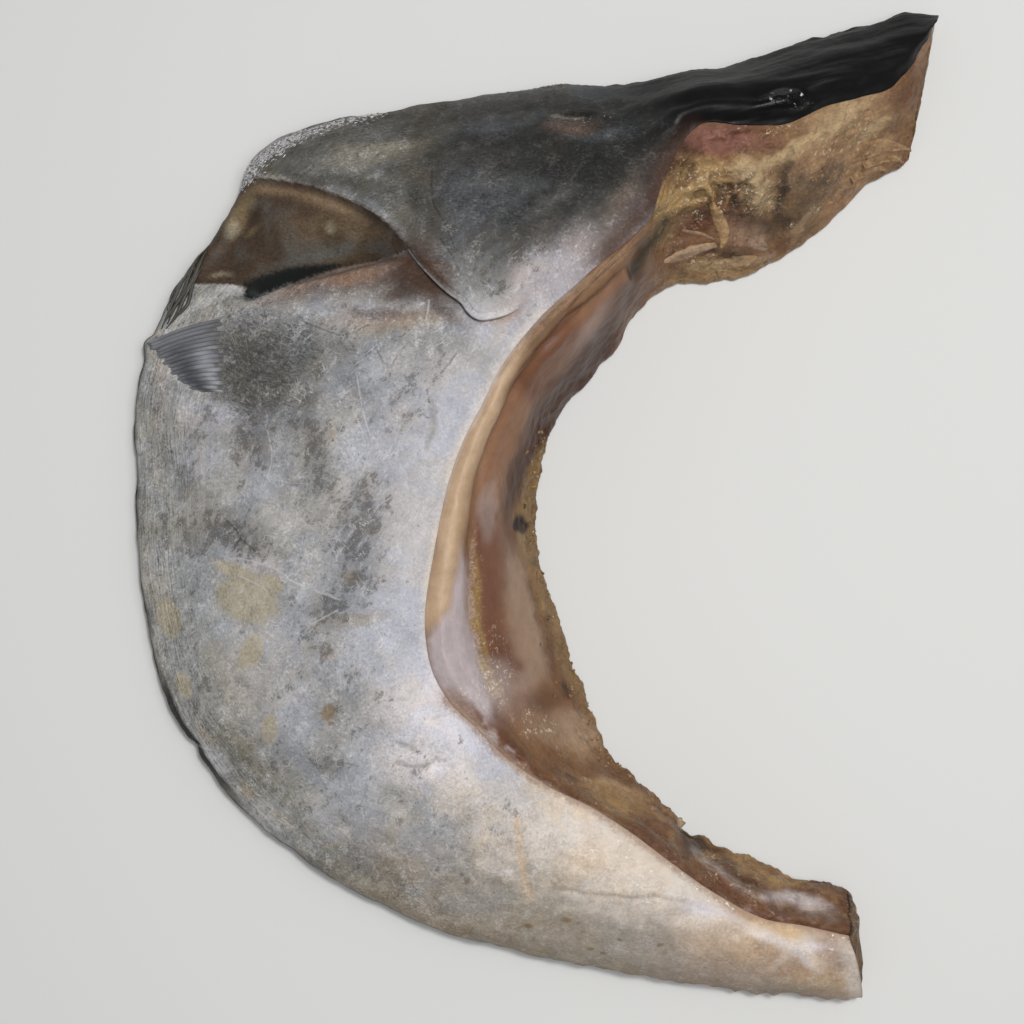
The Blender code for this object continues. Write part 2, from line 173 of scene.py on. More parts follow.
# How far the cut edge of the skin stands over the flesh, as a share of the lip. Each row: place, share.
LIP_BY_PLACE = (
    (0, 1), (4, 0.8), (6, 0.2), (8, 0.05), (16.8, 0.1), (17.8, 0.7), (20.5, 0.7), (21.5, 0.1), (25, 0.3),
    (31, 0.7),
)

FIN_TIP = (-124, 62.5)
FIN_TOP = (-99, 69)
FIN_LOW = (-99, 44.5)
FIN_FLOOR = 6.5  # the first rays of the fin hang no lower than this over the table
NICK = (-92, 111.5)

# Marks on the skin. Each row: x, y, half length, half width, turn in degrees.
PALE_STAINS = (
    (-88, -22.5, 12.5, 7.8, -16),
    (-90, -14.5, 11.5, 2.8, -24),
    (-79, -17.5, 5, 3, -30),
    (-116, -28, 7.6, 4.8, 105),
    (-86.5, -39, 7, 4.4, 62),
    (-81, -63.5, 6, 3, 82),
    (-111, -50, 5, 3.4, 110),
)
BROWN_SPOTS = (
    (-61.4, -58, 3.6, 3, 70),
    (-60.4, -61.3, 1.4, 1.1, 0),
    (12.5, -123.9, 2, 1.2, 0),
    (0.5, -126.2, 1.8, 1.2, 0),
    (20.2, -133.9, 1.6, 0.8, 0),
    (24.4, -135.3, 1.4, 0.8, 0),
    (42.2, -132, 1.6, 0.8, 20),
    (29.6, -130.5, 1.5, 0.6, -20),
)
# Each row adds how dark the speckle is there.
SPECKLED = (
    (-83, 51, 16, 14, -40, 1.2),
    (-88, 27, 11, 7, 100, 0.8),
    (-106, -1, 16, 7, -8, 0.95),
    (-110, 16, 7, 5, 70, 0.6),
    (-61, 18, 5, 7, 10, 0.6),
    (-86, -2, 13, 5, -20, 0.7),
    (-104, 32, 8, 5, 80, 0.55),
    (-66, 24, 12, 5, 95, 0.72),
    (-53, -3, 14, 8, 60, 0.74),
    (-56, -22, 13, 8, 40, 0.76),
    (-48, -8, 10, 5, 80, 0.55),
    (-66, -43, 9, 5, 60, 0.55),
    (-63, -74, 9, 5, 100, 0.5),
    (-60, 46, 14, 10, 60, 0.42),
    (-37, 36, 14, 9, 55, 0.5),
    (-44, 12, 11, 7, 80, 0.45),
    (-27, 96, 11, 3.4, -70, 1),
    (-31, 106, 8, 3, 80, 0.6),
    (-18, 92, 7, 5, 0, 0.6),
    (-6, 86, 14, 8, 30, 0.6),
    (6, 94, 14, 9, 20, 0.75),
    (-9, 74, 8, 6, 30, 0.45),
    (-48, 104, 10, 4, -20, 0.6),
    (22, 104, 12, 8, 30, 0.55),
    (-80, -70, 12, 5, -40, 0.35),
)

# Fine dark cracks and pale fibres on the skin. Each row: half width, then the points of the line.
CRACKS = (
    (0.34, (-84.1, 72.9), (-81.7, 65.2)),
    (0.3, (-71, 66), (-60.9, 61.4), (-56, 60.2), (-48.7, 63)),
    (0.32, (-46.4, 56.5), (-43.8, 51)),
    (0.34, (-39.4, 52.5), (-40.9, 50), (-41.5, 46.5)),
    (0.4, (-21, 53.3), (-23.2, 50.2), (-25.7, 47.3)),
    (0.36, (-30, 42.4), (-29.4, 38.3)),
    (0.4, (-95.8, 3.5), (-91.5, -0.4), (-90.1, -3), (-84.9, -7.3)),
    (0.3, (-90.1, -3), (-92.1, -6.2)),
    (0.4, *FLAP_CREASE),
    (0.36, (-26, 90), (-22, 84), (-19.5, 78)),
)
FIBRES = (
    (0.34, (-29.3, 70.2), (-29.6, 67.5), (-30, 65.2)),
    (0.34, (-33.4, 60.9), (-33.4, 55.5)),
    (0.34, *PALE_CREASE),
    (0.3, (-90, -15.1), (-83.1, -18.4), (-80.5, -20.3)),
    (0.3, (-77, -15.2), (-66.7, -19.2), (-59.6, -21.5)),
    (0.3, (-67.4, -31), (-57.7, -26.1)),
    (0.45, (-102.1, -70.9), (-108.1, -69.6)),
    (0.26, (-114, 34), (-111.5, 44), (-110.5, 52)),
    (0.26, (-81, 31), (-79.5, 22), (-82, 13)),
    (0.26, (-52, 47), (-50, 36), (-47.5, 27)),
)

# What scatters over the piece. Each row of a band: the points of its line.
FROTH_LINE = (
    (-95.5, 115), (-93.5, 119), (-89, 123.5), (-83, 128), (-76, 131.5), (-67, 134.5), (-57, 137), (-45, 139.5)
)
FOOT_LINE_PLACES = (14.6, 23.2)


def srgb(red, green, blue):
    """A colour on the 0 to 255 scale of a paint chart, as the linear values that Blender keeps."""
    return tuple(
        (c / 255 / 12.92) if c < 11 else ((c / 255 + 0.055) / 1.055) ** 2.4 for c in (red, green, blue)
    )


def palette(*rows):
    """A group of colours. Each row: its name, what it colours, and its red, green and blue."""
    return {
        name: FloatVectorProperty(
            name=name.replace("_", " ").capitalize(),
            description=used_for,
            subtype="COLOR",
            size=3,
            min=0,
            max=1,
            default=srgb(*chart),
        )
        for name, used_for, *chart in rows
    }


def length(name, description, millimetres):
    return FloatProperty(
        name=name, description=description, subtype="DISTANCE", unit="LENGTH", min=0, default=millimetres * MM
    )


class CollarForm(bpy.types.PropertyGroup):
    lip: length("Skin lip", "How far the cut edge of the skin stands over the flesh", 0.45)
    wrinkle: length("Back wrinkles", "Height of the fine wrinkles in the black skin", 0.5)
    crags: length("Crags", "Height of the torn relief of the flesh", 0.55)
    ray_height: length("Fin rays", "Height of the rays of the folded fin", 0.42)
    froth_size: length("Froth", "Mean size of a fleck of frayed skin", 0.42)
    crumb_size: length("Crumbs", "Mean size of a crumb at the inner foot", 0.9)
    froth_count: IntProperty(
        name="Froth flecks", description="How many flecks of frayed skin", min=0, default=6500
    )
    crumb_count: IntProperty(
        name="Crumbs", description="How many crumbs at the inner foot", min=0, default=300
    )


class SkinColours(bpy.types.PropertyGroup):
    __annotations__ = palette(
        ("silver", "The plain skin", 164, 164, 166),
        # Rim: paler than the silver; partly the skin's own paleness by the rim, partly a painted sheen along
        # the crest there.
        ("rim", "Pale skin along the rim", 186, 184, 189),
        # Flank: a little darker and warmer than the silver; partly the skin's own tone, partly painted shade
        # where the skin turns down to the outer edge.
        ("flank", "Skin towards the outer edge", 158, 156, 150),
        ("slate", "Grey skin over the shoulder", 104, 106, 108),
        ("cloud", "Dark clouds over the shoulder", 38, 37, 34),
        ("upper", "Olive grey skin above the pocket", 94, 91, 84),
        ("back", "Black skin of the back", 8, 8, 9),
        ("speckle", "Dark specks", 66, 62, 56),
        ("bloom", "Pale film on the skin", 206, 204, 205),
        ("haze", "Lilac skin beside the flap", 176, 167, 168),
        # Shine: a painted sheen, near-white where light reflects from the skin at the bend by the rim and on
        # the belly's crest. Fibres and froth use it as a pale colour, and it whitens a little of the skin
        # under the pocket.
        ("shine", "Whitest skin at the bend", 218, 212, 216),
        ("cream", "Cream streaks", 176, 164, 140),
        ("amber", "Membrane in the pocket", 86, 71, 54),
        ("umber", "Brown tissue at the end of the pocket", 76, 62, 50),
        ("fold_tan", "Tan line under the fold", 136, 114, 90),
        ("hollow", "Shaded tissue in the pocket", 52, 42, 34),
        # The slit colour also paints the cracks and the shadow along the flap's edge.
        ("slit", "The deep slit", 26, 29, 28),
        ("film", "Grey wet film at the slit", 98, 99, 95),
        ("pink", "Pinkish skin below the slit", 106, 90, 78),
        ("red", "Reddened skin", 70, 48, 37),
        ("white", "White patch beside the fin", 160, 157, 152),
        ("stain", "Pale beige patches", 180, 169, 146),
        ("spot", "Small brown spots", 122, 98, 62),
        ("ochre", "Ochre smears", 150, 130, 96),
        ("olive", "Olive grey hollow at the lower edge", 116, 114, 103),
        ("belly", "Cream skin of the belly", 218, 205, 192),
        # Belly grey and belly low: greyer and browner skin towards the belly's outer edge; partly its own
        # tone, partly painted shade where the belly rolls down.
        ("belly_grey", "Greyer skin under the belly", 160, 151, 139),
        ("belly_low", "Brownish edge of the belly", 150, 134, 112),
        ("gold", "Golden patches near the belly end", 212, 180, 140),
        ("membrane", "Wet mauve border of the belly", 158, 130, 110),
        ("rust", "Pink brown patches near the belly end", 152, 122, 104),
        # Edge: painted shadow along and under the outer edge of the skin; the fin's dark tip and the blades'
        # edges use this colour too.
        ("edge", "The dark outer edge", 16, 16, 15),
        ("fin_light", "Crests of the fin rays", 164, 165, 171),
        ("fin_dark", "Grooves of the fin rays", 62, 65, 72),
    )


class FleshColours(bpy.types.PropertyGroup):
    __annotations__ = palette(
        ("cream", "Cream membrane under the rim", 196, 168, 138),
        ("lilac", "Pale lilac membrane", 186, 174, 176),
        ("rose", "Pinkish membrane", 142, 105, 81),
        ("mauve", "Purple brown membrane", 104, 66, 49),
        ("gold", "Golden line", 150, 122, 74),
        ("pale", "Pale pinkish strip", 152, 127, 106),
        ("tan", "Crumbly tan foot", 142, 114, 78),
        ("brown", "Brown flesh", 100, 68, 46),
        ("dark", "Darkest brown flesh", 62, 35, 21),
        ("amber", "Amber brown flesh", 124, 90, 60),
        ("fat", "Golden fat", 172, 141, 94),
        ("beige", "Fibrous flesh at the back", 166, 135, 100),
        ("pink", "Pink flesh under the black skin", 128, 84, 72),
        ("hollow", "Shaded hollows", 66, 50, 38),
        ("crease", "Green black crease", 44, 40, 26),
        ("sinew", "Tan ligament", 184, 150, 106),
        ("blood", "Dark blood spot", 40, 22, 15),
        # The pale wet film is laid both as itself and as a painted sheen where the inner face shines.
        ("gloss", "Pale wet film", 200, 190, 188),
        ("end", "Olive brown cut face", 96, 78, 58),
        ("under", "Flesh of the underside", 128, 92, 76),
        ("crest", "Lit crests of torn flesh", 186, 158, 120),
        ("lobe", "Cream lobes of fat", 186, 160, 122),
        ("granular", "Granular tan tissue under the rim", 144, 115, 90),
    )


class StudioLook(bpy.types.PropertyGroup):
    floor: palette(("floor", "The plain floor", 218, 218, 216))["floor"]
    key_power: FloatProperty(
        name="Key light", description="Power of the small lamp", unit="POWER", default=6.0
    )
    soft_power: FloatProperty(
        name="Soft light", description="Power of the large lamp", unit="POWER", default=6.5
    )
    fill: FloatProperty(name="Fill", description="Strength of the light all round", min=0, default=0.25)


# ---------------------------------------------------------------- the form


def through(rows, at):
    """Points on the smooth curve through rows, one row to each whole number of at."""
    rows = np.asarray(rows, float)
    last = len(rows) - 1
    slopes = np.gradient(rows, axis=0)
    low = np.clip(np.floor(at).astype(int), 0, last - 1)
    u = (at - low)[:, None]
    start, end = rows[low], rows[low + 1]
    leave, arrive = slopes[low], slopes[low + 1]
    return (
        (2 * u**3 - 3 * u**2 + 1) * start
        + (u**3 - 2 * u**2 + u) * leave
        + (3 * u**2 - 2 * u**3) * end
        + (u**3 - u**2) * arrive
    )


def ramp(low, high, value):
    u = np.clip((value - low) / (high - low), 0, 1)
    return u * u * (3 - 2 * u)


def between(value, start, full, fading, end):
    """1 from full to fading, falling away to 0 at start and at end."""
    return ramp(start, full, value) * ramp(end, fading, value)


def near(distance, width):
    """1 on a line, falling away to 0 over about twice the width."""
    return np.exp(-((distance / width) ** 2))


def gaps(line, plan):
    """For each point: the way to it from a line, the line's direction there, and how far along that is."""
    curve = through(line, np.linspace(0, len(line) - 1, 6 * len(line)))
    start, step = curve[:-1], np.diff(curve, axis=0)
    away = plan[:, None, :] - start[None]
    part = np.clip((away * step).sum(2) / (step**2).sum(1), 0, 1)
    gap = away - part[..., None] * step
    nearest = np.hypot(gap[..., 0], gap[..., 1]).argmin(1)
    row = np.arange(len(plan))
    return gap[row, nearest], step[nearest], (nearest + part[row, nearest]) / len(step)


def beside(line, plan):
    """For each point: its distance to a line, with + on its left, and how far along it lies, 0 to 1."""
    gap, step, along = gaps(line, plan)
    return np.hypot(*gap.T) * np.sign(step[:, 0] * gap[:, 1] - step[:, 1] * gap[:, 0]), along


def towards_lines(rows, plan):
    """The way from the nearest fine line to each point, in half widths. Far from them all it is long."""
    way = np.tile([9.0, 0.0, 9.0], (len(plan), 1))
    reach = np.full(len(plan), 3.0)
    for half_width, *line in rows:
        line = np.array(line)
        close = np.flatnonzero(np.all((plan > line.min(0) - 3) & (plan < line.max(0) + 3), axis=1))
        gap, _, _ = gaps(line, plan[close])
        far = np.hypot(*gap.T)
        nearer = far < reach[close]
        chosen = close[nearer]
        reach[chosen] = far[nearer]
        rise = 9 * ramp(1.4, 2.6, far[nearer])
        way[chosen] = np.column_stack([gap[nearer] / half_width, rise])
    return way


def knob(plan, x, y, width, wide=1, tall=1):
    """1 at a place, falling away to 0 over about twice the width."""
    return near(np.hypot((plan[:, 0] - x) / wide, (plan[:, 1] - y) / tall), width)


def lumps(points, size, seed, octaves=3):
    """Uneven relief between about -1 and 1, with lumps of the given size."""
    shift = Vector((seed * 17.3, seed * 5.1, seed * 9.7))
    return np.array([noise.fractal(Vector(p) / size + shift, 1, 2, octaves) for p in points])


def weave(along, across, seed, layer=0, octaves=3):
    """Uneven relief over two directions, each counted in lumps."""
    points = np.column_stack([along.ravel(), across.ravel(), np.full(along.size, layer)])
    return lumps(points, 1, seed, octaves).reshape(along.shape)


def grain(flow, run, width, seed, octaves=2):
    """Uneven lines along the flow of the piece: run is their length, width their distance."""
    return weave(flow[:, 0] / run, flow[:, 1] / width, seed, octaves=octaves)


def station_places():
    """Places along the rows of STATIONS at which the sections stand evenly, and their travel."""
    fine = np.linspace(0, len(STATIONS) - 1, 2000)
    form = through(STATIONS, fine)
    middle = (form[:, 0:2] + form[:, 2:4] + form[:, 4:6]) / 3
    travel = np.concatenate([[0], np.cumsum(np.hypot(*np.diff(middle, axis=0).T))])
    even = np.linspace(0, travel[-1], ROWS)
    return np.interp(even, travel, fine), even


class Sections:
    """The sections of the collar at a set of places, and the lines that run over them."""

    def __init__(self, places):
        rows = through(STATIONS, places)
        self.outer, self.rim, self.inner = rows[:, 0:2], rows[:, 2:4], rows[:, 4:6]
        self.height, self.edge, self.roll, self.fullness = (rows[:, i : i + 1] for i in range(6, 10))
        self.width = np.linalg.norm(self.rim - self.outer, axis=1)[:, None]
        self.depth = np.linalg.norm(self.inner - self.rim, axis=1)[:, None]
        self.across = (self.rim - self.outer) / self.width
        self.down = (self.inner - self.rim) / self.depth

    def under_edge(self, turns):
        drop = self.edge - self.roll
        inset = np.broadcast_to(UNDERCUT * (1 - np.cos(turns)), (len(drop), len(turns)))
        up = drop - (drop + CUT_BELOW) * np.sin(turns) / math.sin(UNDER_TURN)
        return self.placed(self.outer, self.across, inset, up)

    def skin(self, shares):
        reach = shares * self.width
        rolled = self.roll * np.sqrt(1 - (1 - np.minimum(reach / self.roll, 1)) ** 2)
        swell = np.sin(np.minimum(shares / CREST_AT, 1) * np.pi / 2)
        past_crest = ramp(CREST_AT - 0.12, 1, shares)
        up = self.edge - self.roll + rolled + (self.height + CREST - self.edge) * swell - CREST * past_crest
        return self.placed(self.outer, self.across, reach, up)

    def flesh(self, falls):
        whole = self.height + CUT_BELOW
        up = self.height - whole * falls**self.fullness
        widest = ((self.height - FOOT_HEIGHT) / whole) ** (1 / self.fullness)
        rolled_under = FOOT_INSET * (np.maximum(falls - widest, 0) / (1 - widest)) ** 2
        out = np.minimum(falls / widest, 1) * self.depth - rolled_under
        return self.placed(self.rim, self.down, out, up)

    @staticmethod
    def placed(start, direction, reach, up):
        plan = start[:, None, :] + direction[:, None, :] * reach[..., None]
        return np.concatenate([plan, up[..., None]], axis=2)


def outward(grid):
    """Unit directions straight out of a grid of points, upwards in its middle."""
    along = np.gradient(grid, axis=0)
    over = np.gradient(grid, axis=1)
    away = np.cross(over, along)
    away /= np.maximum(np.linalg.norm(away, axis=2, keepdims=True), 1e-9)
    return away * np.sign(away[grid.shape[0] // 2, grid.shape[1] // 3, 2])


def fin_pocket(plan):
    """The hollow that the fin folds into: a sharp fold above, a slope, and a deep slit with a lip below."""
    below_fold, _ = beside(POCKET_FOLD, plan)
    above_slit, along = beside(POCKET_SLIT, plan)
    below_fold = -below_fold
    inside = ramp(0, 2.5, below_fold) * ramp(-4.5, 1, above_slit)
    slope = below_fold / (np.abs(below_fold) + np.abs(above_slit) + 0.01)
    shallow = ramp(1, 0.72, along)
    reach = ramp(-112, -98, plan[:, 0])
    depth = inside * (2 + 4.5 * np.clip(slope, 0, 1) ** 1.6) * shallow * reach
    slit = near(above_slit, 4) * ramp(0.75, 0.3, along) * ramp(-95, -89, plan[:, 0])
    return -depth - 2.8 * slit


def flap(plan):
    """The corner of skin that laps over the end of the pocket."""
    inside, along = beside(FLAP_EDGE, plan)
    ends = between(along, 0, 0.25, 0.8, 1)
    edge = ramp(0, 1.3, inside) * np.exp(-np.maximum(inside, 0) / 14) * 3
    crease, _ = beside(FLAP_CREASE, plan)
    return edge * ends - 1.3 * near(crease, 3)


def folded_fin(plan):
    """The skin swells a little under the fan of the folded fin."""
    tip, top, low = (np.array(p) for p in (FIN_TIP, FIN_TOP, FIN_LOW))
    inside = np.full(len(plan), 9.0)
    for a, b in ((tip, low), (low, top), (top, tip)):
        side = b - a
        gap = (side[0] * (plan[:, 1] - a[1]) - side[1] * (plan[:, 0] - a[0])) / np.hypot(*side)
        inside = np.minimum(inside, gap)
    return 0.5 * ramp(-0.5, 3, inside)


def back_folds(plan):
    """Wrinkles and a swollen knot in the black skin at the back end."""
    high, _ = beside(BACK_FOLD, plan)
    low, _ = beside(LOW_BACK_FOLD, plan)
    knot = knob(plan, 84, 134.5, 4, wide=1.6)
    ring = np.hypot((plan[:, 0] - 18) / 2.2, plan[:, 1] - 130.5)
    return near(high, 2.8) + 0.9 * near(low, 2.2) + 2.6 * knot + near(ring - 3.2, 1.4)


def skin_relief(points):
    plan = points[:, :2]
    waves = 0.9 * lumps(points, 34, 1) + 0.15 * lumps(points, 9, 2)
    return waves + fin_pocket(plan) + flap(plan) + folded_fin(plan) + back_folds(plan)


def fine_skin_relief(points, flow, place, form):
    """Wrinkles, creases and scratches that are finer than the solid's facets."""
    plan = points[:, :2]
    back = ramp(10.5, 6, place)
    wrinkle = form.wrinkle / MM
    relief = wrinkle * back * (0.45 * grain(flow, 22, 2.6, 21) + 1.5 * grain(flow, 40, 8, 22))
    relief += 0.1 * lumps(points, 3.2, 23, octaves=2)
    above_slit, _ = beside(POCKET_SLIT, plan)
    puckered = between(above_slit, -15, -3, -1.5, 1.5) * ramp(-86, -74, plan[:, 0])
    relief += 0.45 * puckered * weave(plan[:, 0] / 7, (plan[:, 1] - 0.2 * plan[:, 0]) / 1.7, 24, octaves=2)
    scratch, _ = beside(BELLY_SCRATCH, plan)
    vein, _ = beside(BELLY_CREASE, plan)
    pale, _ = beside(PALE_CREASE, plan)
    relief -= 0.25 * near(scratch, 0.7) + 0.3 * near(vein, 1.3)
    relief += 0.3 * near(pale, 0.7)
    return relief


def flesh_relief(points, down, place):
    """Relief of the inner face. down is 0 at the rim and 1 at the foot; place counts the stations."""
    plan = points[:, :2]
    back = ramp(10.5, 6.5, place)
    belly = ramp(20, 24, place)
    middle = (1 - back) * (1 - belly)
    cover = ramp(0, 0.12, down)

    torn = 2.2 * lumps(points, 20, 3, octaves=2) + 0.8 * lumps(points, 7, 4, octaves=2)
    fat = 3 * knob(plan, 74.5, 108, 6)
    fat += 2 * knob(plan, 58, 109, 5, wide=1.5)
    hollow = 4.5 * knob(plan, 82.5, 104, 6.5, tall=1.2)
    hollow += 2.5 * knob(plan, 72, 99, 4)
    sinew, _ = beside(SINEW, plan)
    crease, _ = beside(DARK_CREASE, plan)
    at_back = torn + fat - hollow + 0.8 * near(sinew, 1.8)

    groove = 1.6 * near(down - 0.33, 0.05) * middle
    bone = near(down - 0.14, 0.09) * middle
    crumbly = 0.25 + 0.75 * between(place, 13, 15, 26, 31)
    crumbs = (0.8 * crumbly * lumps(points, 5, 5) + 0.9 * lumps(points, 13, 6)) * ramp(0.72, 0.95, down)

    dip, _ = beside(BELLY_HOLLOW, plan)
    ridge, _ = beside(BELLY_RIDGE, plan)
    at_belly = lumps(points, 12, 7) - 3.2 * near(dip, 3.5) + 1.8 * near(ridge, 1.8)
    at_belly -= 1.8 * near(down - 0.45, 0.14)

    relief = back * at_back + middle * 0.6 * lumps(points, 14, 8) + belly * at_belly
    return cover * (relief + bone - groove + crumbs - 2.6 * near(crease, 2.4))


def fine_flesh_relief(points, flow, down, place, form):
    """Fibres, folds and grains that are finer than the solid's facets."""
    plan = points[:, :2]
    crags = form.crags / MM
    cover = ramp(0.02, 0.12, down)
    back = ramp(9.5, 7, place)
    belly = ramp(20.5, 22.5, place)
    foot = ramp(0.66, 0.85, down)
    fat = knob(plan, 64, 109.5, 7.5, wide=2.1)
    foot *= 0.35 + 0.65 * ramp(13, 15, place)
    ragged = np.maximum(np.maximum(0.45 * back + 0.5 * fat, 0.6 * belly), foot)
    relief = crags * ragged * (1.1 * lumps(points, 3.4, 31) + 0.5 * lumps(points, 1.5, 32, octaves=2))
    relief += crags * (0.55 * back + 0.3 * belly) * grain(flow, 16, 3, 33)
    relief += 0.7 * belly * lumps(points, 8, 37, octaves=2)
    folds = 0.45 - 2.2 * np.abs(lumps(points, 7.5, 34, octaves=3))
    relief += (1.4 * fat + 0.15 * back * (1 - fat)) * folds
    edge, along = beside(CREAM_EDGE, plan)
    relief += (0.9 * near(edge - 1.6, 1.5) - 0.7 * near(edge + 0.6, 0.8)) * ramp(1, 0.7, along)
    relief += 0.1 * lumps(points, 2.2, 35, octaves=2)
    gold = near(down - 0.37, 0.035) * between(place, 17.6, 18.4, 20.6, 21.2)
    relief += gold * (0.5 + 0.6 * lumps(points, 1.8, 36, octaves=2))
    return relief * cover


def outline_relief(points):
    """Unevenness of the cut outer edge, with the tip of the fin, the nick and the frills."""
    plan = points[:, :2]
    rough = 0.7 * lumps(points, 11, 9) + 0.7 * ramp(-10, 30, plan[:, 0]) * lumps(points, 4.5, 10)
    for x, y, reach, width in (
        (*FIN_TIP, 2.4, 3),
        (*NICK, -1.8, 3.5),
        (-108, -69.5, -1.6, 2.5),
        (127, 173.5, 1.2, 2),
        (67.5, -149, 0.8, 1.4),
        (80, -150, 0.7, 1.2),
        (103, -151.5, 0.8, 1.6),
    ):
        rough += reach * knob(plan, x, y, width)
    return rough


# ---------------------------------------------------------------- meshes

FIELDS = {"FLOAT": ("value", 1), "FLOAT_VECTOR": ("vector", 3), "FLOAT_COLOR": ("color", 4)}


def read(data, field, parts):
    """What mesh data keep in a field, one row to each of its items."""
    values = np.empty(len(data) * parts, np.float32)
    data.foreach_get(field, values)
    return values.reshape(-1, parts)


def keep(item, name, kind, values):
    item.data.attributes.new(name, kind, "POINT").data.foreach_set(FIELDS[kind][0], values.ravel())


def give(item, **values):
    """Keeps a number, a vector or a colour for each point of a piece."""
    for name, value in values.items():
        value = np.asarray(value, np.float32)
        if value.ndim == 1:
            keep(item, name, "FLOAT", value)
        elif name in ("flow", "cracks", "fibres"):
            keep(item, name, "FLOAT_VECTOR", value)
        else:
            shades = np.column_stack([np.clip(value, 0, 1), np.ones(len(value), np.float32)])
            keep(item, name, "FLOAT_COLOR", shades)


def boxed(points):
    """Points in metres from points of the form, none of them outside the box of the solid."""
    return np.clip((np.asarray(points, float) - (*MIDDLE, 0)) * MM, CAD_BOX[0], CAD_BOX[1])


def plan_of(item):
    """The points of a finished piece in millimetres, in the coordinates of the form."""
    return read(item.data.vertices, "co", 3).astype(float) / MM + (*MIDDLE, 0)


def placed_mesh(name, points, faces):
    """A new object with its place in its mesh."""
    mesh = bpy.data.meshes.new(name)
    mesh.from_pydata(boxed(points).tolist(), [], faces)
    mesh.update()
    mesh.shade_smooth()
    item = bpy.data.objects.new(name, mesh)
    bpy.context.scene.collection.objects.link(item)
    return item


def ring_faces(rows, around):
    """Faces between the rings of a body, one ring to each section."""
    faces = []
    for start in range(0, (rows - 1) * around, around):
        for c in range(around):
            n = (c + 1) % around
            faces.append((start + c, start + around + c, start + around + n, start + n))
    return faces


def ring_cap(points, faces, ring, away, bulge, rings, rough, flip):
    """Closes one end of a body with rings that draw in to its middle. It returns the indices it adds."""
    line = np.array([points[i] for i in ring])
    middle = line.mean(0)
    first = len(points)
    last_ring = list(ring)
    for k in range(1, rings + 1):
        share = k / rings
        tip = k == rings
        if tip:
            points.append(tuple(middle + away * bulge))
            new_ring = [len(points) - 1] * len(ring)
        else:
            inner = line + (middle - line) * share + away * bulge * math.sqrt(1 - (1 - share) ** 2)
            inner += away * (rough * lumps(inner, 5, 41) * min(1, 4 * share))[:, None]
            new_ring = list(range(len(points), len(points) + len(ring)))
            points.extend(map(tuple, inner))
        for a in range(len(ring)):
            b = (a + 1) % len(ring)
            face = (last_ring[a], last_ring[b], new_ring[b], new_ring[a])[: 3 if tip else 4]
            faces.append(face[::-1] if flip else face)
        last_ring = new_ring
    return list(range(first, len(points)))


def ringed_body(name, ring, bulges, rings, rough, level):
    """A closed body, one ring to each section. It returns the piece, its points and those of its two caps.

    level is 1 where the ends bulge along the piece, and 0 where they bulge level with the table.
    """
    ring[..., 2] = np.maximum(ring[..., 2], 0)
    around = ring.shape[1]
    points = list(map(tuple, ring.reshape(-1, 3)))
    faces = ring_faces(ROWS, around)
    caps = []
    for row, inward, bulge in ((0, 1, bulges[0]), (ROWS - 1, ROWS - 2, bulges[1])):
        away = (ring[row].mean(0) - ring[inward].mean(0)) * (1, 1, level)
        away /= np.linalg.norm(away)
        end = range(row * around, (row + 1) * around)
        caps.append(ring_cap(points, faces, end, away, bulge, rings, rough, row == 0))
    points = np.array(points)
    points[:, 2] = np.maximum(points[:, 2], 0)
    return placed_mesh(name, points, faces), points, caps


def finish_piece(item, material):
    """What every piece needs: its material, its body and the solid that it stands for."""
    item.data.materials.clear()
    item.data.materials.append(material)
    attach(item, BODY)
    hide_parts(NODE)


class Surface:
    """The finished skin and flesh, as something that small pieces are laid on."""

    def __init__(self):
        self.trees = []
        for name in ("skin", "flesh"):
            item = bpy.data.objects[name]
            faces = [tuple(face.vertices) for face in item.data.polygons]
            self.trees.append(BVHTree.FromPolygons(plan_of(item).tolist(), faces))

    def height(self, x, y):
        """The height of the piece over a place, or 0 beside it."""
        hits = [tree.ray_cast(Vector((x, y, 200)), Vector((0, 0, -1)))[0] for tree in self.trees]
        return max([hit.z for hit in hits if hit is not None], default=0)

    def heights(self, plan):
        return np.array([self.height(x, y) for x, y in plan.reshape(-1, 2)]).reshape(plan.shape[:-1])


class Look:
    """The finish of a piece, to lend to the sheets that lie on it."""

    def __init__(self, name):
        self.source = bpy.data.objects[name]
        self.material = self.source.data.materials[0]
        there = plan_of(self.source)
        self.tree = KDTree(len(there))
        for index, point in enumerate(there):
            self.tree.insert(point, index)
        self.tree.balance()

    def lend(self, item):
        """Each point of a sheet takes its looks from the nearest point of the piece."""
        nearest = [self.tree.find(point)[1] for point in plan_of(item)]
        for look in self.source.data.attributes:
            if look.data_type in FIELDS and look.domain == "POINT" and look.name != "position":
                keep(item, look.name, look.data_type, read(look.data, *FIELDS[look.data_type])[nearest])


def deselect():
    bpy.ops.object.select_all(action="DESELECT")


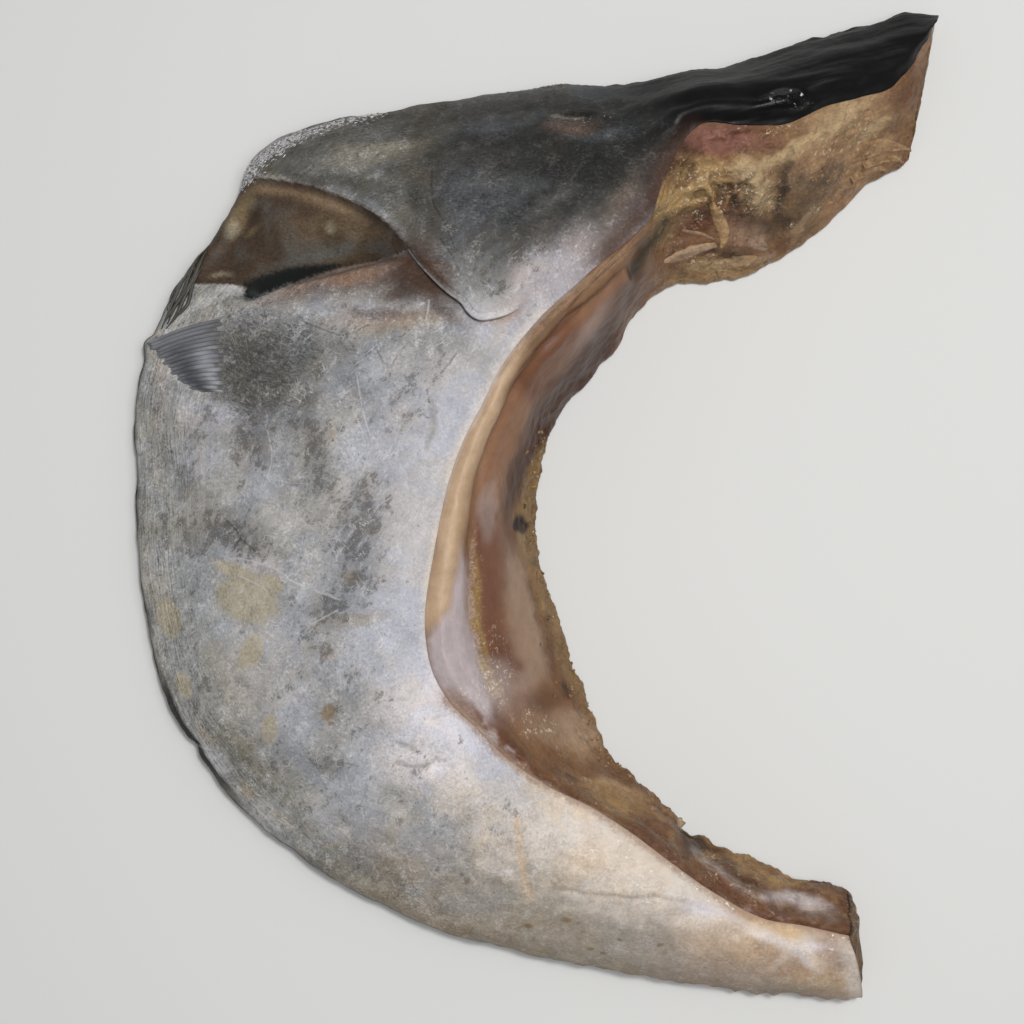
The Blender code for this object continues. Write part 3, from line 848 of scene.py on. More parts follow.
def laid_sheet(name, plan, lift, thickness, surface, look=None):
    """A thin sheet laid on the piece, and how far along and across it each of its points lies, 0 to 1.

    plan holds its points seen from above, and lift how far each stands over the piece.
    """
    rows, columns = lift.shape
    deselect()
    bpy.ops.mesh.primitive_grid_add(x_subdivisions=rows - 1, y_subdivisions=columns - 1, size=2)
    item = bpy.context.object
    item.name = name
    vertices = item.data.vertices
    along, across = (read(vertices, "co", 3)[:, :2].T.astype(float) + 1) / 2
    row = np.rint(along * (rows - 1)).astype(int)
    column = np.rint(across * (columns - 1)).astype(int)
    points = np.column_stack([plan[row, column], surface.heights(plan[row, column]) + lift[row, column]])
    vertices.foreach_set("co", ((points - (*MIDDLE, 0)) * MM).ravel())
    give(item, along=along, across=across)
    item.data.update()
    solid = item.modifiers.new("Thickness", "SOLIDIFY")
    solid.thickness = thickness * MM
    solid.offset = -1 if sum(face.normal.z for face in item.data.polygons) > 0 else 1
    bpy.ops.object.modifier_apply(modifier=solid.name)
    bpy.ops.object.mode_set(mode="EDIT")
    bpy.ops.mesh.select_all(action="SELECT")
    bpy.ops.mesh.normals_make_consistent(inside=False)
    bpy.ops.object.mode_set(mode="OBJECT")
    bpy.ops.object.shade_smooth()
    item.data.vertices.foreach_set("co", boxed(plan_of(item)).ravel())
    item.data.update()
    if look:
        look.lend(item)
    return item, *(read(item.data.attributes[name].data, "value", 1)[:, 0] for name in ("along", "across"))


def tint_edge(item, tint, amount):
    """Washes a colour over the paint that a piece already has."""
    field = item.data.attributes["paint"].data
    values = read(field, "color", 4)
    values[:, :3] += amount[:, None] * (np.array(tint) - values[:, :3])
    field.foreach_set("color", values.ravel())


def ribbon(line, widths, rows, columns):
    """The points of a ribbon seen from above, how far along each lies, 0 to 1, and how far across, -1 to 1.

    Its widths are read evenly along the line.
    """
    middle = through(line, np.linspace(0, len(line) - 1, rows))
    step = np.gradient(middle, axis=0)
    sideways = np.column_stack([-step[:, 1], step[:, 0]])
    sideways /= np.maximum(np.linalg.norm(sideways, axis=1, keepdims=True), 1e-6)
    u = np.linspace(0, 1, rows)
    across = np.linspace(-1, 1, columns)[None, :]
    width = np.interp(u, np.linspace(0, 1, len(widths)), widths)[:, None]
    return middle[:, None] + sideways[:, None] * (across / 2 * width)[..., None], u[:, None], across


def joined(items, name):
    """Joins pieces that are alike into one."""
    deselect()
    for item in items:
        item.select_set(True)
    bpy.context.view_layer.objects.active = items[0]
    bpy.ops.object.join()
    items[0].name = name
    return items[0]


def grain_shapes(fineness, rough, kinds=6):
    """A few uneven grains of unit size."""
    shapes = []
    for kind in range(kinds):
        deselect()
        bpy.ops.mesh.primitive_ico_sphere_add(subdivisions=fineness, radius=1)
        ball = bpy.context.object.data
        points = read(ball.vertices, "co", 3).astype(float)
        points *= (1 + rough * lumps(points, 0.8, 80 + kind, octaves=2))[:, None]
        shapes.append((points, [tuple(face.vertices) for face in ball.polygons]))
        bpy.ops.object.delete()
    return shapes


def scattered(name, shapes, spots, random):
    """Many grains joined in one mesh. Each spot: place, half sizes, turn in radians, colour."""
    points, faces, shades = [], [], []
    count = 0
    for place, sizes, turn, tint in spots:
        shape, sides = shapes[random.integers(len(shapes))]
        tilt = Matrix.Rotation(random.uniform(-0.5, 0.5), 3, "X")
        tilt = tilt @ Matrix.Rotation(random.uniform(-0.5, 0.5), 3, "Y")
        spin = np.array(Matrix.Rotation(turn, 3, "Z") @ tilt)
        points.append((shape * sizes) @ spin.T + place)
        faces.extend(tuple(corner + count for corner in side) for side in sides)
        shades.append(np.tile(tint, (len(shape), 1)))
        count += len(shape)
    points = np.concatenate(points)
    points[:, 2] = np.maximum(points[:, 2], 0)
    item = placed_mesh(name, points, faces)
    give(item, paint=np.concatenate(shades))
    return item


def varied(tint, random, spread):
    """A colour a little lighter or darker."""
    return np.clip(np.array(tint) * random.normal(1, spread), 0, 1)


# ---------------------------------------------------------------- paint


class Paint:
    """Colours over the points of a piece, put on in washes."""

    def __init__(self, points, tints, base):
        self.points = points
        self.tints = tints
        wobble = np.column_stack([lumps(points, 7, 51, octaves=2), lumps(points, 7, 52, octaves=2)])
        sway = np.column_stack([lumps(points, 24, 53, octaves=2), lumps(points, 24, 54, octaves=2)])
        self.plan = points[:, :2]
        self.loose = self.plan + 1.3 * wobble + 3 * sway
        self.shades = np.tile(np.array(getattr(tints, base), float), (len(points), 1))

    def wash(self, name, mask):
        """Lays the tint of this name over the colours, as strongly as the mask says."""
        self.shades += np.clip(mask, 0, 1)[:, None] * (np.array(getattr(self.tints, name)) - self.shades)

    def spot(self, x, y, half_length, half_width, turn=0, soft=0.5, loose=True):
        """1 inside an oval, 0 outside, over an edge that is soft for this share of its size."""
        return ramp(1 + soft, 1 - soft, self.oval(x, y, half_length, half_width, turn, loose))

    def oval(self, x, y, half_length, half_width, turn=0, loose=True):
        away = (self.loose if loose else self.plan) - (x, y)
        angle = math.radians(turn)
        u = away[:, 0] * math.cos(angle) + away[:, 1] * math.sin(angle)
        v = away[:, 1] * math.cos(angle) - away[:, 0] * math.sin(angle)
        return np.hypot(u / half_length, v / half_width)

    def stroke(self, line, width, loose=False):
        """1 on a line, fading over its width, and how far along the line each point lies."""
        gap, along = beside(line, self.loose if loose else self.plan)
        return near(gap, width), along

    def daub(self, marks):
        """Soft ovals of colour. Each mark: the name of its tint, its amount, its softness, and its ovals."""
        for name, amount, soft, *ovals in marks:
            for oval in ovals:
                self.wash(name, amount * self.spot(*oval, soft=soft))


# Marks over the skin: the name of the tint, its amount, its softness, then ovals as x, y, half length,
# half width and turn in degrees.
SHOULDER_MARKS = (
    ("cream", 0.4, 0.9, (-46, 120.5, 15, 3.4, 6), (-40, 124.5, 14, 1.8, 5)),
    ("umber", 0.3, 0.9, (-27, 134.5, 13, 5, 0), (-20, 121, 7, 6, 60), (-33, 110.5, 8, 4, -20),
     (4, 124, 9, 3, 12)),
    ("cloud", 0.42, 0.9, (-68, 128, 22, 3.5, 20), (-27, 137, 22, 5, 4), (-64, 113.5, 15, 2.6, -20)),
    ("cloud", 0.92, 0.75, (12, 131, 36, 15, 8), (30, 120, 26, 15, 20), (6, 108, 24, 12, 14)),
    ("cloud", 0.6, 0.75, (11, 96, 13, 7, 25), (-18, 122, 20, 12, 10), (30, 107, 13, 7, 30),
     (22, 95, 6, 5, 45)),
    ("cloud", 0.45, 0.75, (-4, 96, 10, 8, 30), (-22, 105, 8, 6, -40), (-31, 99, 10, 3.5, -60),
     (0, 89, 9, 5, 30)),
    ("slate", 0.3, 0.9, (30, 126, 14, 2, 8), (6, 101, 9, 2, 30), (-8, 131, 16, 1.8, 6)),
    ("haze", 0.3, 0.85, (15, 89, 7, 4, 50)),
    ("rim", 0.55, 0.8, (-12.5, 67.5, 7.5, 3.4, 24)),
    ("slate", 0.35, 0.8, (49, 126.5, 4, 2.2, 0)),
    ("rust", 0.28, 0.8, (14, 128, 9, 2.6, 4)),
    ("pink", 0.55, 0.8, (31, 101.5, 9, 4, 52)),
    ("slate", 0.3, 0.8, (-5, 106, 14, 5, 10)),
)
UNDER_POCKET_MARKS = (
    ("cloud", 0.6, 0.6, (-92, 109, 4, 2, 30)),
    ("upper", 0.78, 0.7, (-83, 52, 17, 16, -20)),
    ("slate", 0.45, 0.8, (-26, 58, 12, 7, 50), (-66, 57, 12, 6, -10), (-48, 57, 12, 5, 0)),
    ("red", 0.9, 0.8, (-34.5, 81, 9, 8, 30), (-28, 75.5, 7, 5, -45)),
    ("umber", 0.45, 0.8, (-42, 75, 14, 6, -8), (-26, 68, 8, 5, -50)),
    ("rust", 0.5, 0.7, (-50, 80.5, 9, 2.4, 10), (-46, 65, 15, 2.6, -3), (-62, 79.5, 9, 1.8, 6)),
    ("red", 0.55, 0.8, (-45, 67, 11, 1.6, -12), (-27, 66.5, 7, 2, -35), (-40, 73, 6, 2, 20)),
    ("ochre", 0.35, 0.8, (-38, 62.5, 12, 2.4, 4)),
    ("rust", 0.35, 0.8, (-76, 74.5, 9, 2.4, 14)),
    ("haze", 0.26, 0.8, (-56, 73.5, 6, 2, 12), (-48, 70, 6, 1.2, 10)),
    ("shine", 0.15, 0.7, (-98.5, 78, 7, 2.2, 16), (-103.5, 73, 3.5, 2.2, 50)),
)
FLANK_MARKS = (
    ("olive", 0.6, 0.7, (-87, -76, 18, 6.5, -42), (-95, -70, 8, 4, -50), (-48, -108, 16, 4.5, -20)),
    ("upper", 0.55, 0.8, (-40, -111, 16, 3.4, -18), (-63, -108, 8, 3, -24)),
    ("ochre", 0.45, 0.6, (-58.2, 29.6, 3, 1.6, 70), (-53.9, -16.8, 2.2, 2.6, 70), (-61, -41.5, 2.4, 1.8, 0)),
    ("ochre", 0.45, 0.6, (-50.2, -29.8, 6.5, 2, 8), (-88.1, -84.3, 3.4, 1.8, -30),
     (-77.5, -93.2, 3, 1.6, -20)),
    ("ochre", 0.45, 0.7, (-61, -100.7, 3, 1.8, 0), (-105, -66, 6, 2.4, -50)),
    ("rim", 0.8, 0.8, (-104, 35, 9, 6, -15), (-98, 36, 9, 4, -20), (-85, -9.5, 12, 3.4, -12)),
    ("rim", 0.45, 0.8, (-104, 22, 8, 5, -30), (-91, 21, 6, 5, 0), (-78, -48, 14, 18, 20),
     (-46, -66, 10, 9, 20)),
    ("slate", 0.24, 0.8, (-72, 40, 6, 10, 20), (-68, 12, 6, 14, 10), (-55, -58, 8, 9, 30)),
    ("cloud", 0.55, 0.8, (-67, -110.5, 9, 2.4, -27), (-49, -118, 10, 2, -20), (-22, -128, 12, 1.6, -16)),
    ("slate", 0.28, 0.8, (-15, 51, 6, 10, 60)),
    ("stain", 0.22, 0.8, (-96, -52, 10, 14, 20), (-66, 20, 10, 12, 0)),
    ("rust", 0.24, 0.8, (-38, -104, 18, 7, -25), (-119, 40, 3.2, 20, 6)),
    # Flank colour along the outer edge here: partly tone, partly painted shade.
    ("flank", 0.4, 0.8, (-116, 18, 4, 24, 0)),
    # Painted sheen at the bend by the rim.
    ("shine", 0.9, 0.8, (-24, -56, 12, 14, 25), (-16, -56, 8, 8, 30), (-30, -76, 14, 7, -20)),
)
BELLY_MARKS = (
    ("gold", 0.85, 0.7, (70.6, -124, 10, 4.5, -18), (82, -127, 11, 5, -5)),
    ("rust", 0.62, 0.6, (76, -135.5, 9, 5, -12), (66, -123, 5, 4, 0), (97, -132, 5, 8, 70),
     (88, -141, 12, 3, 0)),
    # Painted sheen along the belly's crest by the rim.
    ("shine", 0.75, 0.8, (57, -121, 9, 2.4, -20), (76, -130, 8, 1.6, -20), (88, -133, 6, 1.6, 10),
     (90, -138, 5, 1.6, -40)),
    ("pink", 0.6, 0.7, (102.5, -133, 3, 7, 0)),
    ("belly", 0.6, 0.8, (78, -129.5, 7, 1.8, -22), (86, -131.5, 6, 1.6, 18), (90, -135.5, 6, 1.6, -38)),
    ("belly", 0.5, 0.8, (80, -137, 5, 1.4, 40), (68.9, -125.5, 6, 1.4, -15), (51.4, -123.6, 6, 1.6, -10)),
    ("belly_grey", 0.4, 0.7, (-14.5, -111, 12, 4, -25)),
    ("gold", 0.4, 0.9, (93, -143, 15, 6, 0), (66, -133, 12, 5, -12)),
    ("belly_low", 0.45, 0.9, (11, -128, 16, 6, -6)),
)


def paint_skin(points, share, place, rimward, tints):
    """The colours of the skin, from the plain silver to the last marks."""
    paint = Paint(points, tints, "silver")
    x, y = paint.loose.T
    patchy = lumps(points, 16, 55)
    fine = lumps(points, 5, 56)

    middle = between(place, 12, 14.5, 22.5, 25.5)
    # Darker towards the outer edge: partly the flank's own tone, partly painted shade where the skin turns
    # away from the light.
    paint.wash("flank", 0.8 * ramp(0.42, 0.05, share))
    paint.wash("bloom", 0.3 * ramp(0, 0.5, patchy) * middle)
    paint.wash("speckle", 0.18 * ramp(0, 0.6, -patchy + 0.4 * fine) * middle)
    # Paler towards the rim: partly the skin's own paleness, partly a painted sheen where the crest by the rim
    # faces the light.
    rim = ramp(0.6, 0.93, share + 0.05 * patchy)
    rim *= between(place, 11.2, 13.4, 23, 27)
    paint.wash("rim", 0.92 * rim)
    for *oval, amount in SPECKLED:
        paint.wash("speckle", 0.26 * amount * paint.spot(*oval, soft=0.8))

    shoulder = ramp(-58, -30, x + 0.3 * (y - 90))
    shoulder *= ramp(54, 70, y + 0.35 * np.minimum(x, 0) - 0.75 * np.maximum(x, 0))
    paint.wash("slate", 0.9 * shoulder * (1 - 0.6 * rim))
    above_pocket, _ = beside(POCKET_FOLD, paint.loose)
    above = ramp(-1, 2.5, above_pocket) * ramp(-20, -34, x) * ramp(84, 92, y)
    paint.wash("upper", 0.85 * above)
    haze = ramp(103, 78, y + 3 * patchy) * ramp(50, 66, y) * ramp(-9, 3, x + 0.3 * (77 - y))
    paint.wash("haze", 0.92 * haze)
    paint.daub(SHOULDER_MARKS)
    paint.wash("back", ramp(22, 54, x + 0.45 * (y - 128)))
    frayed, along = paint.stroke(FROTH_LINE, 2.6, loose=True)
    paint.wash("bloom", 0.75 * frayed * ramp(0.9, 0.2, along))
    eye = paint.oval(18, 133.8, 7, 2.2, 2, loose=False)
    paint.wash("back", 0.5 * ramp(1.5, 0.7, eye))
    paint.wash("cream", 0.3 * near(eye - 1.15, 0.2) * (paint.plan[:, 1] < 133.5) * (paint.plan[:, 0] < 20))
    red, along = paint.stroke(RED_RIM, 5.5)
    paint.wash("red", 0.92 * red * between(along, 0, 0.1, 0.75, 1))
    soft_rim = between(place, 11.4, 12.4, 16.4, 17.6)
    paint.wash("belly", 0.75 * soft_rim * ramp(4, 0, rimward))
    cream_rim = between(place, 17, 17.8, 20.5, 21.5)
    paint.wash("belly", 0.55 * cream_rim * ramp(2.2, 0.4, rimward))

    paint_pocket(paint)
    paint.daub(FLANK_MARKS)
    for line in OLIVE_STREAKS:
        paint.wash("olive", 0.55 * paint.stroke(line, 1, loose=True)[0])
    paint_belly(paint, share, place, rimward, patchy, fine)

    # Painted shadow: a thin near-black line along the outer edge, wider between places 19.3 and 22.2, and the
    # roll under the edge darkened.
    edge_shadow_line = ramp(0.014, 0.004, share) * between(place, 12, 14, 24, 28)
    thick = ramp(0.045, 0.03, share) * between(place, 19.3, 20.2, 21.4, 22.2)
    paint.wash("edge", 0.95 * np.maximum(edge_shadow_line, thick))
    paint.wash("edge", 0.6 * (share < 0))
    return paint


def paint_pocket(paint):
    """What lies round the fin's pocket: reddened and pink skin below it, painted shadow along the flap's
    edge, and its pale edge.
    """
    plan = paint.plan
    below_fold, _ = beside(POCKET_FOLD, plan)
    above_slit, along = beside(POCKET_SLIT, plan)
    paint.wash("red", 0.45 * near(0.2 - below_fold, 1.1) * ramp(-74, -64, plan[:, 0]) * (along < 0.97))
    pink = between(above_slit, -15, -5, -1, 1) * ramp(-84, -70, paint.loose[:, 0])
    paint.wash("pink", 0.9 * pink * ramp(-16, -24, plan[:, 0]))
    paint.daub(UNDER_POCKET_MARKS)
    # Painted shadow: near black just outside the flap's edge, where it laps over the skin; rust and pale
    # lines follow its far part.
    gap, along = beside(FLAP_EDGE, plan)
    shade = near(gap + 0.5, 0.8) * between(along, 0.02, 0.12, 0.62, 0.72)
    paint.wash("slit", 0.9 * shade)
    paint.wash("rust", 0.6 * near(gap + 1, 1.2) * between(along, 0.62, 0.72, 0.9, 1))
    pale = near(gap - 0.7, 0.7) * between(along, 0.55, 0.7, 0.92, 1)
    paint.wash("bloom", 0.6 * pale)


INLAY_MARKS = (
    ("fold_tan", 0.3, 0.7, (-70, 97, 9, 5, -10)),
    ("film", 0.35, 0.7, (-66, 91, 11, 3, -4)),
    ("fold_tan", 0.3, 0.7, (-52, 95, 7, 2.5, -30)),
    # The hollow marks here are painted shade deep in the pocket.
    ("hollow", 0.3, 0.7, (-96, 88, 9, 6, 60)),
    ("umber", 0.7, 0.7, (-104, 86, 3.5, 8, -25)),
    ("cream", 0.62, 0.7, (-98.2, 100.2, 3.6, 1.8, 68)),
    ("ochre", 0.55, 0.7, (-94, 105.5, 7, 3.4, 45)),
    ("ochre", 0.45, 0.7, (-90.5, 98.5, 4, 1, 20)),
    ("cream", 0.45, 0.7, (-100.5, 84, 4, 1, -12)),
    ("cream", 0.45, 0.7, (-60.5, 97.5, 2.4, 1.4, -20)),
    ("film", 0.3, 0.7, (-76, 93, 3, 6, 20)),
    ("hollow", 0.6, 0.7, (-89.5, 103, 4.2, 2.6, -60)),
    ("film", 0.3, 0.7, (-84, 101, 2, 5, 0)),
)


def paint_inlay(points, tints):
    """The colours inside the pocket: brown tissue, amber membrane, tan fold, grey film at the slit, and
    painted shade under the fold and at its far end.
    """
    paint = Paint(points, tints, "umber")
    plan = paint.plan
    below_fold, _ = beside(POCKET_FOLD, plan)
    above_slit, _ = beside(POCKET_SLIT, plan)
    below_fold = -below_fold
    swirl = lumps(np.column_stack([paint.loose[:, 0] / 2.2, paint.loose[:, 1], points[:, 2]]), 5, 58)
    paint.wash("amber", 0.9 * ramp(-86, -56, paint.loose[:, 0]))
    paint.wash("fold_tan", 0.95 * near(below_fold - 3.4, 1.7) * ramp(-94, -84, plan[:, 0]))
    # Painted shade: darker just under the fold and towards the far end of the pocket, where the flap laps
    # over it.
    paint.wash("hollow", 0.8 * near(below_fold - 0.2, 1.2) * ramp(-90, -74, plan[:, 0]))
    paint.wash("hollow", 0.88 * ramp(-60, -46, plan[:, 0]))
    paint.daub(INLAY_MARKS)
    wet_film = near(above_slit - 5, 2.2) * between(plan[:, 0], -84, -72, -58, -50)
    paint.wash("film", 0.6 * wet_film)
    paint.wash("film", 0.26 * ramp(0.1, 0.5, swirl))
    paint.wash("hollow", 0.3 * ramp(0.1, 0.5, -swirl))
    return paint.shades


def paint_belly(paint, share, place, rimward, patchy, fine):
    """The cream belly with its marks."""
    belly = ramp(22.6, 25, place + 0.5 * patchy)
    # The belly is laid grey, then cream towards the rim and brownish at the outer edge. The grey and the
    # brown are partly tone, partly painted shade where the belly rolls down.
    paint.wash("belly_grey", 0.85 * belly)
    paint.wash("belly", 0.95 * belly * ramp(0.34, 0.74, share + 0.07 * patchy + 0.04 * fine))
    paint.wash("belly", 0.35 * belly * ramp(0.15, 0.4, fine) * ramp(0.2, 0.5, share))
    paint.wash("belly_low", 0.6 * belly * ramp(0.2, 0.02, share))
    golden = ramp(0.05, 0.45, lumps(paint.points, 8, 57)) * ramp(0.35, 0.7, share)
    paint.wash("gold", 0.22 * belly * golden)
    vein, _ = paint.stroke(BELLY_CREASE, 1.2, loose=False)
    paint.wash("gold", 0.6 * vein)
    scratch, _ = paint.stroke(BELLY_SCRATCH, 0.8, loose=True)
    paint.wash("spot", 0.3 * scratch)
    end = ramp(26.6, 28.2, place)
    paint.wash("rust", 0.35 * end * ramp(0.95, 0.6, share))
    paint.daub(BELLY_MARKS)
    wet = ramp(3.6, 0.8, rimward + 1.6 * fine + 1.4 * patchy) * ramp(20.4, 21.4, place)
    paint.wash("membrane", 0.3 * wet * ramp(28, 26, place))
    cut = ramp(30.55, 30.8, place + 0.1 * fine)
    paint.wash("belly", 0.6 * cut)


def band(place, down, keys, soft=0.035):
    """1 in a strip along the inner face. keys: place, where it starts and where it ends below the rim."""
    keys = np.array(keys, float)
    start = np.interp(place, keys[:, 0], keys[:, 1])
    end = np.interp(place, keys[:, 0], keys[:, 2])
    within = ramp(start - soft, start + soft, down) * ramp(end + soft, end - soft, down)
    begun = ramp(keys[0, 0] - 0.5, keys[0, 0] + 0.3, place)
    return within * begun * ramp(keys[-1, 0] + 0.5, keys[-1, 0] - 0.3, place)


# Strips along the inner face: the tint, its amount, its softness, then the keys that band reads.
STRIPS = (
    ("amber", 0.8, 0.1, (8.8, 0, 0.6), (17.6, 0, 0.6)),
    ("rose", 0.9, 0.08, (9.2, 0.3, 0.62), (12, 0.36, 0.6), (13.4, 0.38, 0.56)),
    ("mauve", 0.7, 0.08, (11.6, 0.26, 0.62), (13, 0.3, 0.66), (14.4, 0.3, 0.62)),
    ("rose", 0.8, 0.08, (14.2, 0.32, 0.6), (16.6, 0.3, 0.58), (18.8, 0.36, 0.6), (19.6, 0.36, 0.62)),
    ("granular", 0.85, 0.08, (9, 0.04, 0.17), (11, 0, 0.18), (13.4, 0, 0.16)),
    ("cream", 0.92, 0.12, (13, 0, 0.08), (13.8, 0, 0.18), (16, 0, 0.26), (18.8, 0, 0.22), (19.3, 0, 0.1)),
    ("mauve", 0.75, 0.06, (17.2, 0.32, 0.56), (18.8, 0.4, 0.58), (20.4, 0.42, 0.58)),
    ("lilac", 0.85, 0.05, (18.2, 0.22, 0.3), (18.9, 0.18, 0.33), (19.5, 0.02, 0.33), (20.9, 0, 0.34),
     (21.5, 0, 0.22)),
    ("dark", 0.85, 0.09, (8.9, 0.48, 0.78), (9.8, 0.46, 0.84), (10.8, 0.66, 1), (13, 0.68, 1.1),
     (14.9, 0.66, 0.96), (17, 0.6, 0.74)),
    ("gold", 0.55, 0.05, (14.6, 0.96, 1.1), (15.6, 0.84, 1), (17.4, 0.76, 1)),
    ("pale", 0.9, 0.05, (18, 0.62, 0.8), (19.4, 0.6, 0.8), (20.8, 0.56, 0.74)),
    ("tan", 0.8, 0.05, (17.4, 0.74, 1.1), (18.6, 0.84, 1.1), (20.6, 0.86, 1.1), (21.6, 0.9, 1.1)),
    ("amber", 0.8, 0.06, (20.4, 0.4, 0.86), (22, 0.25, 0.95), (24, 0.12, 1.1), (30.5, 0.1, 1.1)),
)
FLESH_MARKS = (
    # The pale wet film marks here are painted sheen, where the membrane shines.
    ("gloss", 0.25, 0.55, (-11.2, 6, 2.6, 8, 0)),
    ("brown", 0.8, 0.55, (7, -56, 6, 3.4, 10)),
    ("blood", 0.65, 0.55, (14, -53, 2.2, 3.4, 15)),
    ("beige", 0.75, 0.55, (18, -68, 6.5, 6, -40)),
    ("pale", 0.55, 0.55, (8, -64.5, 9, 5, -25)),
    ("pale", 0.5, 0.55, (1.5, -49, 5, 3, 20)),
    ("pale", 0.6, 0.55, (17, -66, 8, 5, -40)),
    ("gloss", 0.34, 0.55, (-12, -50, 8, 7, 60)),
    ("lilac", 0.16, 0.55, (-3, -54, 7, 6, 60)),
    ("lilac", 0.2, 0.55, (22, 64, 10, 3, 48)),
    ("pale", 0.25, 0.55, (13, 55, 8, 2.4, 50)),
    ("brown", 0.45, 0.55, (31, 71, 7, 3.2, 40)),
)


def paint_flesh(points, down, place, tints):
    """The colours of the inner face, strip by strip, then the marks of the back and the belly."""
    paint = Paint(points, tints, "brown")
    wide = lumps(points, 11, 61)
    fine = lumps(points, 3.5, 62)
    drift = down + 0.03 * wide + 0.012 * fine
    for name, amount, soft, *keys in STRIPS:
        paint.wash(name, amount * band(place, drift, keys, soft))
    gold = band(place, drift, ((18, 0.34, 0.4), (19.4, 0.34, 0.41), (20.8, 0.33, 0.4)), soft=0.02)
    paint.wash("gold", 0.85 * gold * (0.7 + 0.5 * fine))
    paint.wash("dark", 0.65 * near(drift - 0.235, 0.02) * between(place, 8.6, 9.6, 13, 14.6))
    soft_rim = between(place, 10.2, 11.4, 16.4, 17.6)
    paint.wash("gloss", 0.35 * soft_rim * ramp(0.07, 0, down))
    border = band(place, drift, ((20.9, 0.02, 0.14), (22.5, 0, 0.16), (23.6, 0, 0.1)), soft=0.03)
    paint.wash("mauve", 0.85 * border)
    paint.wash("gloss", 0.45 * border * ramp(0, 0.6, fine + wide))
    film = between(place, 20.2, 21.4, 24.5, 26.5)
    paint.wash("pale", 0.7 * film * ramp(0.13, 0, down + 0.05 * fine + 0.06 * wide))

    paint.daub(FLESH_MARKS)
    paint.wash("blood", 0.97 * paint.spot(-1.6, 2.9, 2.9, 3.1, 0, soft=0.25))

    paint_back_flesh(paint, down, place, wide, fine)
    paint_belly_flesh(paint, down, place, wide, fine)
    return paint


# The hollow marks are painted shade, in the hollows of the relief and between its lobes and strands.
BACK_FLESH_MARKS = (
    ("beige", 0.85, 0.6, (101, 120, 27, 13, 38)),
    ("brown", 0.55, 0.8, (124, 140, 5, 4, 60), (121, 131, 5, 3, 20), (112, 122, 7, 2, 40),
     (90, 107, 5, 3, 40)),
    ("brown", 0.6, 0.8, (127, 147, 9, 4, 65), (108, 126, 9, 1.6, 30), (97, 114, 8, 1.6, 40)),
    ("lobe", 0.7, 0.8, (104, 133.5, 10, 3, 28), (93, 124, 12, 2, 34), (113, 129, 8, 1.8, 30)),
    ("rose", 0.4, 0.8, (101, 111, 9, 5, 45), (91, 117, 6, 3, 40)),
    ("pink", 0.92, 0.6, (64, 122.5, 14, 4.6, -4)),
    ("dark", 0.88, 0.7, (50, 119, 8, 5, -55), (49, 113, 5, 3, 50)),
    ("fat", 0.55, 0.8, (64, 116.5, 12, 2, 0)),
    ("fat", 0.92, 0.6, (50, 106.5, 7, 4.4, 50), (57, 110.5, 8, 5, 20), (44.5, 101.8, 5, 2.6, 45)),
    ("lobe", 0.95, 0.5, (71, 113.5, 5, 3.2, -10), (76.5, 108.8, 5.5, 3.4, -10), (82, 117.5, 9, 2, 35)),
    ("end", 0.75, 0.8, (91, 107, 6, 9, 20), (84, 101, 8, 5, 0), (98, 112, 8, 3, 40)),
    ("hollow", 0.85, 0.7, (84, 110, 1.9, 6.5, -14), (85, 103, 4, 2.6, -30), (69, 105, 1.6, 4.4, 10),
     (74.5, 101, 5.5, 2.4, -8)),
    ("dark", 0.6, 0.6, (69.5, 111, 0.8, 3, 20), (61.5, 112.6, 4, 0.8, 10), (73, 111, 3, 0.7, 20),
     (52, 111.5, 5, 1, 30)),
    ("crease", 0.45, 0.7, (86, 114, 1.2, 4, -20)),
    ("mauve", 0.75, 0.7, (57, 100, 7, 3.2, 6), (67, 101.4, 4, 2.4, 0)),
    ("hollow", 0.6, 0.7, (55, 103, 7, 1.2, 10), (47, 98.6, 4, 1.2, 40), (58, 90.2, 8, 1, 6),
     (69, 92, 5, 2, 10)),
    ("tan", 0.7, 0.7, (45, 95.5, 5, 3, 30), (60, 85.3, 15, 2, 3)),
    ("rose", 0.55, 0.8, (54, 94, 8, 2.4, 6), (70, 96, 5, 3, 0)),
    ("brown", 0.55, 0.6, (83.4, 94.8, 2.6, 2.2, 0)),
    ("pale", 0.6, 0.7, (133, 158, 8, 2.2, 68), (79, 90.6, 3, 0.9, 10), (73, 97, 7, 4, 0)),
    ("lobe", 0.35, 0.7, (68, 88.2, 12, 1.3, 6), (92, 101.5, 6, 1.4, 48)),
    ("hollow", 0.45, 0.8, (62, 90.6, 9, 0.9, 6), (81, 99, 3, 5, 0)),
)


def paint_back_flesh(paint, down, place, wide, fine):
    """Fat, sinew, fibres and painted shade in the hollows of the arm at the back, with a painted highlight
    along its foot.
    """
    back = ramp(8.8, 7.4, place)
    paint.wash("amber", 0.85 * back)
    paint.wash("brown", 0.45 * back * ramp(0, 0.55, -wide))
    paint.daub(BACK_FLESH_MARKS)
    crease, _ = paint.stroke(DARK_CREASE, 1.9)
    paint.wash("crease", 0.9 * crease)
    # Painted highlight along the edge at the foot.
    foot_highlight = ramp(0.86, 0.97, down) * ramp(8.6, 7.6, place)
    paint.wash("crest", 0.45 * foot_highlight)
    paint.wash("dark", 0.22 * back * ramp(0.25, 0.6, -fine))
    paint.wash("pale", 0.18 * back * ramp(0.3, 0.7, fine))


